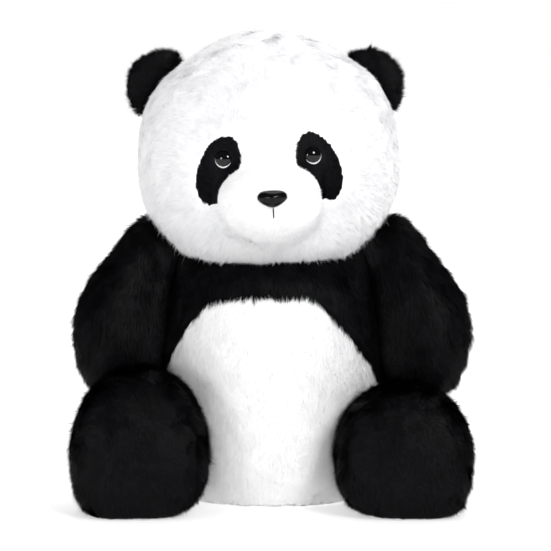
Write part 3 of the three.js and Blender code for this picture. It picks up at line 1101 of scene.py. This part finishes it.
    def comb(self, points: np.ndarray, normals: np.ndarray, panel: np.ndarray) -> np.ndarray:
        """Outwards from the face, and down at the sides and back.

        Args:
            points: Places in millimetres, one in each row.
            normals: The surface's outward directions there. Not used here.
            panel: The number of the panel that each point is on.

        Returns:
            The direction of the brushing at each point.
        """
        q = self.local(points)
        out = unit(q - np.array(self.face))
        fall = smoothstep(80.0, 150.0, np.linalg.norm(q - np.array(self.face), axis=1))[:, None]
        way = out * (1 - 0.5 * fall) + DOWN * 0.7 * fall
        names = list(self.panels)
        for side, node in ((1, "left_eye_patch"), (-1, "right_eye_patch")):
            middle = np.array([side * self.patch[0], 0.0, self.patch[1]])
            inwards = unit((middle - q) * np.array([1.0, 0.0, 1.0])) + DOWN
            way = np.where((panel == names.index(node))[:, None], inwards, way)
            from_eye = q[:, [0, 2]] - np.array([side * self.eye[0], self.eye[1]])
            near = np.linalg.norm(from_eye, axis=1)
            push = np.stack([from_eye[:, 0], np.zeros(len(q)), from_eye[:, 1]], axis=1)
            share = (1 - smoothstep(8.0, 16.0, near))[:, None] * (q[:, 1:2] < -30)
            way = way * (1 - share) + unit(push) * share
        return way + wander(q, 26.0, 21) * 0.25

    def bare(self, points: np.ndarray) -> np.ndarray:
        """Nothing grows under the eyes, the nose and the mouth's thread.

        Args:
            points: Places in millimetres, one in each row.

        Returns:
            Whether nothing grows at each point.
        """
        q = self.local(points)
        front = q[:, 1] < -30
        off = np.abs(np.abs(q[:, 0]) - self.eye[0])
        eye = np.hypot(off, q[:, 2] - self.eye[1]) < self.eye_bare
        nose = np.hypot((q[:, 0] - self.nose[0]) / 12.0, (q[:, 2] - self.nose[1]) / 7.0) < 1
        mouth = (np.abs(q[:, 0] - self.nose[0]) < 0.8) & (q[:, 2] > 270) & (q[:, 2] < 287)
        return front & (eye | nose | mouth)


def past_shoulder(points: np.ndarray, side: Side) -> np.ndarray:
    """How far each point is outside the flat on which an arm lies against the body.

    Args:
        points: Places in millimetres, one in each row.
        side: The arm's side.

    Returns:
        The distances in millimetres, below 0 inside the flat.
    """
    outward = np.array([side.value * math.cos(SHOULDER_SLOPE), 0.0, math.sin(SHOULDER_SLOPE)])
    middle = np.array([side.value * SHOULDER[0], SHOULDER[1], SHOULDER[2]])
    return (points - middle) @ outward


@dataclass
class Torso(StuffedBody):
    """The body: black shoulders, a white belly and back, and a flat weighted seat.

    Attributes:
        stoop: How far the back's top comes forward, as a share of its depth.
        tuck: How far the seat's edge is drawn in.
    """

    stoop: float = 0.4
    tuck: float = 0.06

    def sculpt(self, points: np.ndarray) -> np.ndarray:
        """Draws the chest back under the chin, slopes the back to the neck and tucks in the seat.

        Args:
            points: Places in millimetres, one in each row.

        Returns:
            Where the points settle.
        """
        under = smoothstep(212.0, 242.0, points[:, 2]) * smoothstep(0.0, -45.0, points[:, 1])
        made = points + under[:, None] * np.array([0.0, 7.0, -3.0])
        stoop = smoothstep(145.0, 262.0, points[:, 2]) ** 1.5 * smoothstep(-10.0, 60.0, points[:, 1])
        made[:, 1] *= 1 - self.stoop * stoop
        made[:, :2] *= 1 - self.tuck * (1 - smoothstep(0.0, 34.0, points[:, 2:3]))
        return made

    def choose(self, points: np.ndarray) -> np.ndarray:
        """The nearest panel, with the chest's black drooping lower beside the arms.

        Args:
            points: Places in millimetres, one in each row.

        Returns:
            The number of the panel that each point belongs to.
        """
        x = points[:, 0]
        droop = 32.0 * smoothstep(30.0, 92.0, x) + 22.0 * smoothstep(55.0, 100.0, -x)
        names = list(self.panels)
        belly, chest = names.index("belly_panel"), names.index("chest_yoke_panel")
        found = self.map.nearest(points)
        above = self.map.nearest(points - DOWN * droop[:, None])
        return np.where((found == belly) & (above == chest), chest, found)

    def pile_length(self, points: np.ndarray, panel: np.ndarray) -> np.ndarray:
        """Medium on the belly, long on the shoulders and back, and crushed under the seat.

        Args:
            points: Places in millimetres, one in each row.
            panel: The number of the panel that each point is on.

        Returns:
            The length of the fur at each point, in millimetres.
        """
        names = list(self.panels)
        table = {"belly_panel": 6.5, "seat_panel": 4.0, "chest_yoke_panel": 10.5, "back_yoke_panel": 11.0}
        length = np.array([table.get(node, 10.0) for node in names])[panel]
        length = length * (1 + 0.1 * wander(points, 30.0, 12)[:, 0])
        for side in Side:
            free = smoothstep(3.0, 16.0, -past_shoulder(points, side))
            length = PRESSED + (length - PRESSED) * free
        under_chin = smoothstep(205.0, 235.0, points[:, 2]) * (points[:, 1] < 0)
        length -= 4.5 * under_chin
        seat = panel == names.index("seat_panel")
        return np.where(seat, 3.5, np.minimum(length, 6.0 + np.maximum(points[:, 2], 0) * 0.5))

    def comb(self, points: np.ndarray, normals: np.ndarray, panel: np.ndarray) -> np.ndarray:
        """Down all round, and outwards under the seat.

        Args:
            points: Places in millimetres, one in each row.
            normals: The surface's outward directions there. Not used here.
            panel: The number of the panel that each point is on.

        Returns:
            The direction of the brushing at each point.
        """
        out = points * np.array([1.0, 1.0, 0.0])
        low = (panel == list(self.panels).index("seat_panel"))[:, None]
        way = DOWN * (1 - low) + unit(out) * (low + 0.15)
        return way + wander(points, 28.0, 22) * 0.35


@dataclass
class Tail(StuffedBody):
    """The short round tail, sewn low on the back."""

    def sculpt(self, points: np.ndarray) -> np.ndarray:
        """Presses the tail's root into the fur of the back."""
        return points + np.array([0.0, -7.0, 0.0])

    def pile_length(self, points: np.ndarray, panel: np.ndarray) -> np.ndarray:
        """Long all over."""
        return np.full(len(points), 10.0)

    def comb(self, points: np.ndarray, normals: np.ndarray, panel: np.ndarray) -> np.ndarray:
        """Back and down."""
        return np.array([0.0, 0.7, -0.7]) + wander(points, 20.0, 23) * 0.4


@dataclass
class Arm(StuffedBody):
    """A long arm that hangs beside the body.

    Attributes:
        side: Which arm.
        crown: How far the shoulder's top stands from the joint's middle.
        shrug: How fast the shoulder narrows towards the neck.
        longer: How much lower the paw hangs.
    """

    side: Side = Side.LEFT
    crown: float = 48.0
    shrug: float = 0.000075
    longer: float = 8.0

    def sculpt(self, points: np.ndarray) -> np.ndarray:
        """Lays the inner side flat against the body, and fills out the top of the shoulder.

        Args:
            points: Places in millimetres, one in each row.

        Returns:
            Where the points settle.
        """
        outward = np.array([self.side.value * math.cos(SHOULDER_SLOPE), 0.0, math.sin(SHOULDER_SLOPE)])
        upward = np.array([-self.side.value * math.sin(SHOULDER_SLOPE), 0.0, math.cos(SHOULDER_SLOPE)])
        middle = np.array([self.side.value * SHOULDER[0], SHOULDER[1], SHOULDER[2]])
        out = past_shoulder(points, self.side)
        spoke = points - middle - out[:, None] * outward
        radius = np.linalg.norm(spoke, axis=1)
        up = (spoke @ upward) / np.maximum(radius, 1e-6)
        fill = smoothstep(0.1, 0.9, up) * (1 - smoothstep(12.0, 48.0, out))
        reach = 1 + fill * np.maximum(self.crown / np.maximum(radius, 1.0) - 1, 0)
        high = spoke @ upward
        against = -4.0 - 3.0 * smoothstep(10.0, 40.0, high) - 7.0 * smoothstep(20.0, 80.0, -high)
        pressed = against + (out - against) * smoothstep(-4.0, 34.0, out)
        front = 1 - smoothstep(30.0, 46.0, np.abs(points[:, 1]))
        out = out + (pressed - out) * front * (1 - smoothstep(105.0, 124.0, -high))
        made = middle + spoke * np.where(radius > 12, reach, 1.0)[:, None] + out[:, None] * outward
        slope = 0.36 * np.tanh(self.shrug / 0.36 * np.maximum(made[:, 2] - 170.0, 0) ** 2)
        made[:, 2] -= self.longer * smoothstep(205.0, 130.0, made[:, 2])
        made[:, 0] -= self.side.value * slope * np.maximum(out, 0)
        return made

    def pile_length(self, points: np.ndarray, panel: np.ndarray) -> np.ndarray:
        """The longest fur, in tufts.

        Args:
            points: Places in millimetres, one in each row.
            panel: The number of the panel that each point is on. Not used here.

        Returns:
            The length of the fur at each point, in millimetres.
        """
        length = 12.5 * (1 + 0.16 * wander(points, 24.0, 13)[:, 0])
        free = smoothstep(3.0, 18.0, past_shoulder(points, self.side))
        return PRESSED + (length - PRESSED) * free

    def comb(self, points: np.ndarray, normals: np.ndarray, panel: np.ndarray) -> np.ndarray:
        """Down and a little outwards."""
        way = np.array([0.45 * self.side.value, -0.1, -1.0])
        return way + wander(points, 30.0, 24 + self.side.value) * 0.35


@dataclass
class Leg(StuffedBody):
    """A short leg held out in front, with a round sole.

    Attributes:
        side: Which leg.
        axis: The drum's middle, as its distance from the middle line and its height.
        taller: How much fuller the right leg's top is.
        corners: How far the foot's bottom corners spread, on the outside and the inside.
    """

    side: Side = Side.LEFT
    axis: tuple[float, float] = (122.0, 62.0)
    taller: float = 0.12
    corners: tuple[float, float] = (0.16, 0.12)

    def sculpt(self, points: np.ndarray) -> np.ndarray:
        """Spreads the foot's bottom corners, and fills out the right leg's top.

        Args:
            points: Places in millimetres, one in each row.

        Returns:
            Where the points settle.
        """
        share = self.taller * (self.side is Side.RIGHT) * smoothstep(30.0, 120.0, points[:, 2])
        made = points * (1 + share[:, None] * np.array([0.0, 0.0, 1.0]))
        middle = np.array([self.side.value * self.axis[0], 0.0, self.axis[1]])
        spoke = (made - middle) * np.array([1.0, 0.0, 1.0])
        round_it = np.degrees(np.arctan2(spoke[:, 2], self.side.value * spoke[:, 0]))
        outer = np.exp(-(((round_it + 47.0) / 24.0) ** 2)) * self.corners[0]
        inner = np.exp(-(((round_it + 140.0) / 24.0) ** 2)) * self.corners[1]
        return made + spoke * (outer + inner)[:, None]

    def pile_length(self, points: np.ndarray, panel: np.ndarray) -> np.ndarray:
        """Long round the leg, shorter in the middle of the sole, and crushed underneath.

        Args:
            points: Places in millimetres, one in each row.
            panel: The number of the panel that each point is on.

        Returns:
            The length of the fur at each point, in millimetres.
        """
        x = points[:, 0] - self.side.value * self.axis[0]
        out = np.hypot(x, points[:, 2] - self.axis[1])
        sole = panel == list(self.panels).index(f"{self.side.label}_sole")
        length = np.where(sole, 6.0 + 3.5 * smoothstep(25.0, 48.0, out), 11.0)
        length = length * (1 + 0.14 * wander(points, 22.0, 14)[:, 0])
        return np.minimum(length, 3.0 + np.maximum(points[:, 2], 0) * 0.6)

    def comb(self, points: np.ndarray, normals: np.ndarray, panel: np.ndarray) -> np.ndarray:
        """Outwards from the sole's middle on the sole, and towards it round the leg.

        Args:
            points: Places in millimetres, one in each row.
            normals: The surface's outward directions there. Not used here.
            panel: The number of the panel that each point is on.

        Returns:
            The direction of the brushing at each point.
        """
        out = points - np.array([self.side.value * self.axis[0], 0.0, self.axis[1]])
        out[:, 1] = 0
        sole = (panel == list(self.panels).index(f"{self.side.label}_sole"))[:, None]
        round_leg = np.array([0.0, -0.5, -0.7]) + unit(out) * 0.4
        rim = smoothstep(20.0, 50.0, np.linalg.norm(out, axis=1))[:, None]
        way = np.where(sole, unit(out) * rim + DOWN * 0.6, round_leg)
        return way + wander(points, 24.0, 27 + self.side.value) * 0.35


@dataclass
class Ear(StuffedBody):
    """A round ear of two panels, lightly filled."""

    side: Side = Side.LEFT

    def sculpt(self, points: np.ndarray) -> np.ndarray:
        """Sets the ear a little further into the head's fur, and plumper.

        Args:
            points: Places in millimetres, one in each row.

        Returns:
            Where the points settle.
        """
        middle = points.mean(axis=0)
        inwards, down = 5.5, 3.0 + 4.0 * self.side.value
        return middle + (points - middle) * 1.05 - np.array([inwards * self.side.value, 0.0, down])

    def pile_length(self, points: np.ndarray, panel: np.ndarray) -> np.ndarray:
        """Short and even."""
        return 7.5 * (1 + 0.1 * wander(points, 18.0, 15)[:, 0])

    def comb(self, points: np.ndarray, normals: np.ndarray, panel: np.ndarray) -> np.ndarray:
        """Out from the head.

        Args:
            points: Places in millimetres, one in each row.
            normals: The surface's outward directions there. Not used here.
            panel: The number of the panel that each point is on. Not used here.

        Returns:
            The direction of the brushing at each point.
        """
        out = points - np.array([0.0, 0.0, 341.0])
        out[:, 1] = 0
        return unit(out) + wander(points, 16.0, 30 + self.side.value) * 0.5


# ---------------------------------------------------------------- face


def turned(
    name: str, outline: list[tuple[float, float]], steps: int, place: Matrix
) -> bpy.types.Object:
    """A shape turned round its own Y axis, as on a lathe, and put in its place.

    Args:
        name: The piece's name.
        outline: Distances from the axis and along it, in millimetres.
        steps: Facets round the axis.
        place: The shape's frame.

    Returns:
        The piece.
    """
    shape = bmesh.new()
    profile = [shape.verts.new((x * MM, y * MM, 0)) for x, y in outline]
    edges = [shape.edges.new(pair) for pair in zip(profile, profile[1:])]
    bmesh.ops.spin(
        shape,
        geom=profile + edges,
        cent=(0, 0, 0),
        axis=(0, 1, 0),
        angle=2 * math.pi,
        steps=steps,
        use_merge=True,
    )
    bmesh.ops.remove_doubles(shape, verts=shape.verts, dist=0.001 * MM)
    bmesh.ops.recalc_face_normals(shape, faces=shape.faces)
    bmesh.ops.transform(shape, matrix=place, verts=shape.verts)
    return finished(name, shape)


@dataclass
class Eye:
    """A polished dome with a white crescent low on it, on a disc and stem.

    Attributes:
        side: Which eye.
        radius: The dome's radius.
        dome: Its height.
        outward: How far it faces to the side, in degrees.
        crescent: The crescent's thickness at its middle.
        steps: Facets round the dome.
    """

    side: Side
    radius: float = 8.4
    dome: float = 5.6
    outward: float = 12.0
    crescent: float = 1.3
    steps: int = 72

    def place(self) -> Matrix:
        """The eye's own frame, which faces along -Y.

        Returns:
            What turns and moves the eye's frame to its place on the head.
        """
        low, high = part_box(f"{self.side.label}_eye_lens")
        aside = Matrix.Rotation(math.radians(self.side.value * self.outward), 3, "Z")
        turn = HEAD_REST.to_3x3() @ aside
        back = (low + high) / 2 + turn @ Vector((0, self.dome / 2 * MM, 0))
        return Matrix.Translation(back) @ turn.to_4x4()

    def build(self) -> None:
        """Makes the dome and the back."""
        dome = self.make_dome()
        for material in (EYE_BLACK.material(), EYE_WHITE.material()):
            dome.data.materials.append(material)
        for face in dome.data.polygons:
            centre = self.place().inverted() @ face.center / MM
            face.material_index = int(centre.z < 1.5 and self.in_crescent(centre))
        back = self.make_back()
        back.data.materials.append(EYE_BLACK.material())
        for piece, node, slot in (
            (dome, "eye_lens", "eye_lens_plastic"),
            (back, "eye_back", "gloss_black_plastic"),
        ):
            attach(piece, "head")
            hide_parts(f"{self.side.label}_{node}")
        LOG.info("%s eye", self.side.label)

    def in_crescent(self, place: Vector) -> bool:
        """Whether a place on the dome is in the white crescent.

        Args:
            place: A place in the eye's own frame, in millimetres.

        Returns:
            True in the crescent.
        """
        out = math.hypot(place.x, place.z)
        from_lid = math.hypot(place.x, place.z - self.crescent)
        return out < self.radius - 0.3 and from_lid > self.radius - 0.55

    def make_dome(self) -> bpy.types.Object:
        """The dome, turned from a quarter oval.

        Returns:
            The dome, in its place.
        """
        steps = 28
        quarter = [math.pi / 2 * number / steps for number in range(steps + 1)]
        outline = [(self.radius * math.sin(at), -self.dome * math.cos(at)) for at in quarter]
        outline.append((self.radius, 0.4))
        return turned(f"{self.side.label}_eye_dome", outline, self.steps, self.place())

    def make_back(self) -> bpy.types.Object:
        """The disc behind the dome, with its ribbed stem.

        Returns:
            The disc and stem, in their place.
        """
        outline = [(0, 0.5), (8.2, 0.5), (8.4, 0.9), (8.2, 1.8), (3.0, 2.1), (2.6, 3.0)]
        for number in range(6):
            outline += [(2.6, 4.0 + number * 2), (2.3, 4.6 + number * 2)]
        outline += [(2.0, 17.0), (0, 17.6)]
        return turned(f"{self.side.label}_eye_stem", outline, 32, self.place())


@dataclass
class Nose:
    """A moulded nose: a rounded triangle with its point down, on a stem.

    Attributes:
        width: Its width.
        height: Its height.
        depth: How far it stands out.
        above: The share of its height that is above its widest line.
    """

    width: float = 27.0
    height: float = 15.6
    above: float = 0.47
    depth: float = 9.0

    def build(self) -> None:
        """Makes the nose from a ball drawn out to a rounded triangle."""
        low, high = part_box("nose")
        front = (low + high) / 2
        shape = bmesh.new()
        bmesh.ops.create_uvsphere(shape, u_segments=64, v_segments=40, radius=1.0)
        for vert in shape.verts:
            x, y, z = vert.co
            ring = math.hypot(x, z)
            across, up = x / (ring or 1.0), z / (ring or 1.0)
            if up > 0:
                square = (abs(across) ** 3 + up**3) ** (-1 / 3)
                x, z = x * square, z * square * self.above
            else:
                x, z = x * (1 - 0.36 * abs(up) ** 1.2), z * (1 - self.above)
            vert.co = (x * self.width / 2, y * self.depth * (1 - 0.22 * ring), z * self.height)
        bmesh.ops.scale(shape, vec=(MM, MM, MM), verts=shape.verts)
        middle = Vector((front.x + 0.0025, low.y + self.depth * MM * 0.95, front.z - 0.0022))
        turn = HEAD_REST.to_3x3().to_4x4() @ Matrix.Rotation(math.radians(-8), 4, "X")
        bmesh.ops.transform(shape, matrix=Matrix.Translation(middle) @ turn, verts=shape.verts)
        bmesh.ops.recalc_face_normals(shape, faces=shape.faces)
        nose = finished("nose_button", shape)
        nose.data.materials.append(NOSE_BLACK.material())
        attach(nose, "head")
        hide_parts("nose")
        LOG.info("nose")


@dataclass
class Mouth:
    """One stitch of doubled thread down from the nose."""

    radius: float = 0.6

    def build(self) -> None:
        """Makes the thread as a tube with round ends, laid along its CAD node."""
        low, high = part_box("mouth_stitch")
        top = Vector(((low.x + high.x) / 2 + 0.0025, (low.y + high.y) / 2, high.z - 0.001))
        end = Vector(((low.x + high.x) / 2 + 0.003, (low.y + high.y) / 2, low.z + 0.0005))
        shape = bmesh.new()
        bmesh.ops.create_uvsphere(shape, u_segments=16, v_segments=24, radius=1.0)
        span = top - end
        for vert in shape.verts:
            share = vert.co.z * 0.5 + 0.5
            on_line = end + span * share
            sag = 0.0008 * (1 - vert.co.z**2)
            twist = 1 + 0.12 * math.sin(vert.co.z * 22 + math.atan2(vert.co.y, vert.co.x) * 2)
            swell = self.radius * MM * twist * (1 - vert.co.z**6) ** 0.5
            ring = math.hypot(vert.co.x, vert.co.y) or 1.0
            vert.co = on_line + Vector((vert.co.x / ring * swell, vert.co.y / ring * swell - sag, 0))
        bmesh.ops.remove_doubles(shape, verts=shape.verts, dist=0.002 * MM)
        bmesh.ops.recalc_face_normals(shape, faces=shape.faces)
        thread = finished("mouth_thread", shape)
        thread.data.materials.append(THREAD.material())
        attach(thread, "head")
        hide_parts("mouth_stitch")
        LOG.info("mouth")


# ---------------------------------------------------------------- hidden pieces and studio


@dataclass
class HiddenPieces:
    """The pieces inside the toy that keep their CAD shape."""

    def build(self) -> None:
        """Gives each carried-over node its finish."""
        finishes = {"pellet_bag": CALICO, "neck_stuffing": FIBRE, "nose_washer": MILKY}
        finishes |= {f"{side.label}_eye_washer": MILKY for side in Side}
        for node, finish in finishes.items():
            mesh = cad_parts[node].data
            mesh.materials.clear()
            mesh.materials.append(finish.material())
        LOG.info("hidden pieces: %s", ", ".join(finishes))


@dataclass
class Studio:
    """A pale floor, soft light from all round, and the camera.

    Attributes:
        target: What the camera looks at.
        distance: How far away it stands, in metres.
        elevation: How far it looks down, in degrees.
        span: The width that it takes in at the target, in metres.
        ambient: How much light the backdrop gives.
        mirrored: How bright it looks in a polished surface.
    """

    target: tuple[float, float, float] = (0.0035, -0.06, 0.218)
    distance: float = 2.6
    elevation: float = 4.0
    span: float = 0.513
    ambient: float = 0.6
    mirrored: float = 0.14

    def build(self) -> None:
        """Makes the floor, the lights, the sky and the camera."""
        shape = bmesh.new()
        bmesh.ops.create_circle(shape, cap_ends=True, segments=96, radius=30.0)
        floor = finished("studio_floor", shape)
        dull = {"Roughness": 0.9, "Specular IOR Level": 0.1}
        material, shader = new_material("matte white floor paint", dull)
        mottle(material, shader, 400.0, "#CFCFCF", "#D3D3D3")
        floor.data.materials.append(material)
        floor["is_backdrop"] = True
        shader.inputs["Emission Color"].default_value = srgb("#FFFFFF")
        shader.inputs["Emission Strength"].default_value = 0.58
        self.light("key_light", (1.1, -2.1, 1.15), 17.0, 1.9)
        self.light("fill_light", (-1.7, -2.2, 0.35), 14.0, 0.65)
        self.light("top_light", (0.3, 1.0, 2.2), 40.0, 1.0)
        self.sky()
        self.camera()
        bpy.context.scene.view_settings.view_transform = "Standard"

    def light(self, name: str, place: tuple[float, float, float], spread: float, power: float) -> None:
        """One large distant soft light.

        Args:
            name: The lamp's name.
            place: Where it shines from, towards the origin.
            spread: How wide it looks from the toy, in degrees.
            power: Its strength in watts for each square metre.
        """
        data = bpy.data.lights.new(name, "SUN")
        data.angle = math.radians(spread)
        data.energy = power
        lamp = bpy.data.objects.new(name, data)
        bpy.context.scene.collection.objects.link(lamp)
        lamp.location = place
        lamp.rotation_euler = (-Vector(place)).to_track_quat("-Z", "Y").to_euler()

    def sky(self) -> None:
        """A white backdrop on every side, which lights the toy more softly than it looks."""
        world = bpy.data.worlds.new("studio_white")
        world.use_nodes = True
        background = next(n for n in world.node_tree.nodes if n.type == "BACKGROUND")
        background.inputs["Color"].default_value = srgb("#FFFFFF")
        tree = world.node_tree
        path = add_node(tree, "ShaderNodeLightPath").outputs
        add = {"operation": "MULTIPLY_ADD"}
        dim = {0: path["Is Glossy Ray"], 1: self.mirrored - self.ambient, 2: self.ambient}
        lit = add_node(tree, "ShaderNodeMath", add, dim).outputs[0]
        seen = {0: path["Is Camera Ray"], 1: 1.0 - self.ambient, 2: lit}
        strength = add_node(tree, "ShaderNodeMath", add, seen)
        tree.links.new(strength.outputs[0], background.inputs["Strength"])
        bpy.context.scene.world = world

    def camera(self) -> None:
        """The camera, in front and a little above."""
        data = bpy.data.cameras.new("studio_camera")
        data.sensor_width = 36.0
        data.lens = data.sensor_width * self.distance / self.span
        camera = bpy.data.objects.new("studio_camera", data)
        bpy.context.scene.collection.objects.link(camera)
        tilt = math.radians(self.elevation)
        back = Vector((0, -math.cos(tilt), math.sin(tilt)))
        camera.location = Vector(self.target) + back * self.distance
        camera.rotation_euler = (-back).to_track_quat("-Z", "Y").to_euler()
        bpy.context.scene.camera = camera


# ---------------------------------------------------------------- the toy


def head() -> Head:
    """The head with its panels.

    Returns:
        The head, ready to build.
    """
    panels = {
        "forehead_panel": LONG_WHITE,
        "head_left_side_panel": LONG_WHITE,
        "head_left_back_panel": LONG_WHITE,
        "head_right_side_panel": LONG_WHITE,
        "head_right_back_panel": LONG_WHITE,
        "muzzle_panel": MUZZLE_PILE,
        "chin_panel": MUZZLE_PILE,
        "left_eye_patch": PATCH_PILE,
        "right_eye_patch": PATCH_PILE,
    }
    inside = tuple(f"{side.label}_eye_{part}" for side in Side for part in ("back", "washer"))
    return Head(
        "head", "head_form", ("head_stuffing", "muzzle_stuffing"), panels, (*inside, "nose_washer"), seed=1,
        drawn_in=0.28,
    )


def torso() -> Torso:
    """The torso with its panels.

    Returns:
        The torso, ready to build.
    """
    panels = {
        "belly_panel": BELLY_PILE,
        "chest_yoke_panel": LONG_BLACK,
        "back_yoke_panel": LONG_BLACK,
        "left_lower_back_panel": BACK_WHITE,
        "right_lower_back_panel": BACK_WHITE,
        "seat_panel": SEAT_WHITE,
    }
    return Torso("torso", "torso_form", ("body_stuffing",), panels, ("pellet_bag",), seed=2, drawn_in=0.42)


def limbs() -> list[StuffedBody]:
    """The tail, ears, arms and legs.

    Returns:
        The parts, ready to build, in the order in which they are built.
    """
    made: list[StuffedBody] = [
        Tail("torso", "tail_form", (), {"tail": BACK_WHITE}, fill=0.7, voxel=4.0, seed=3, drawn_in=0.3)
    ]
    for side in Side:
        label = side.label
        ear = {f"{label}_ear_front_panel": EAR_BLACK, f"{label}_ear_back_panel": EAR_BLACK}
        arm = {f"{label}_arm_outer_panel": LONG_BLACK, f"{label}_arm_inner_panel": LONG_BLACK}
        leg = {
            f"{label}_leg_upper_panel": LEG_BLACK,
            f"{label}_leg_lower_panel": LEG_BLACK,
            f"{label}_sole": SOLE_BLACK,
        }
        number = 10 + side.value
        filling = {part: (f"{label}_{part}_stuffing",) for part in ("arm", "leg")}
        made += [
            Ear(
                f"{label}_ear",
                f"{label}_ear_form",
                (),
                ear,
                fill=0.6,
                voxel=4.0,
                swell=1.5,
                seed=number,
                drawn_in=0.3,
                side=side,
            ),
            Arm(
                f"{label}_arm",
                f"{label}_arm_form",
                filling["arm"],
                arm,
                seed=number + 10,
                drawn_in=0.35,
                side=side,
            ),
            Leg(
                f"{label}_leg",
                f"{label}_leg_form",
                filling["leg"],
                leg,
                seed=number + 20,
                drawn_in=0.42,
                side=side,
            ),
        ]
    return made


def main() -> None:
    """Builds the studio and the toy."""
    logging.basicConfig(level=logging.INFO, format="%(name)s: %(message)s")
    Studio().build()
    for part in (torso(), *limbs(), head()):
        part.build()
    for part in (*(Eye(side) for side in Side), Nose(), Mouth(), HiddenPieces()):
        part.build()
    faces = sum(len(piece.data.loop_triangles) or len(piece.data.polygons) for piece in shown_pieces())
    LOG.info("all pieces: %d faces", faces)


if __name__ == "__main__":
    main()
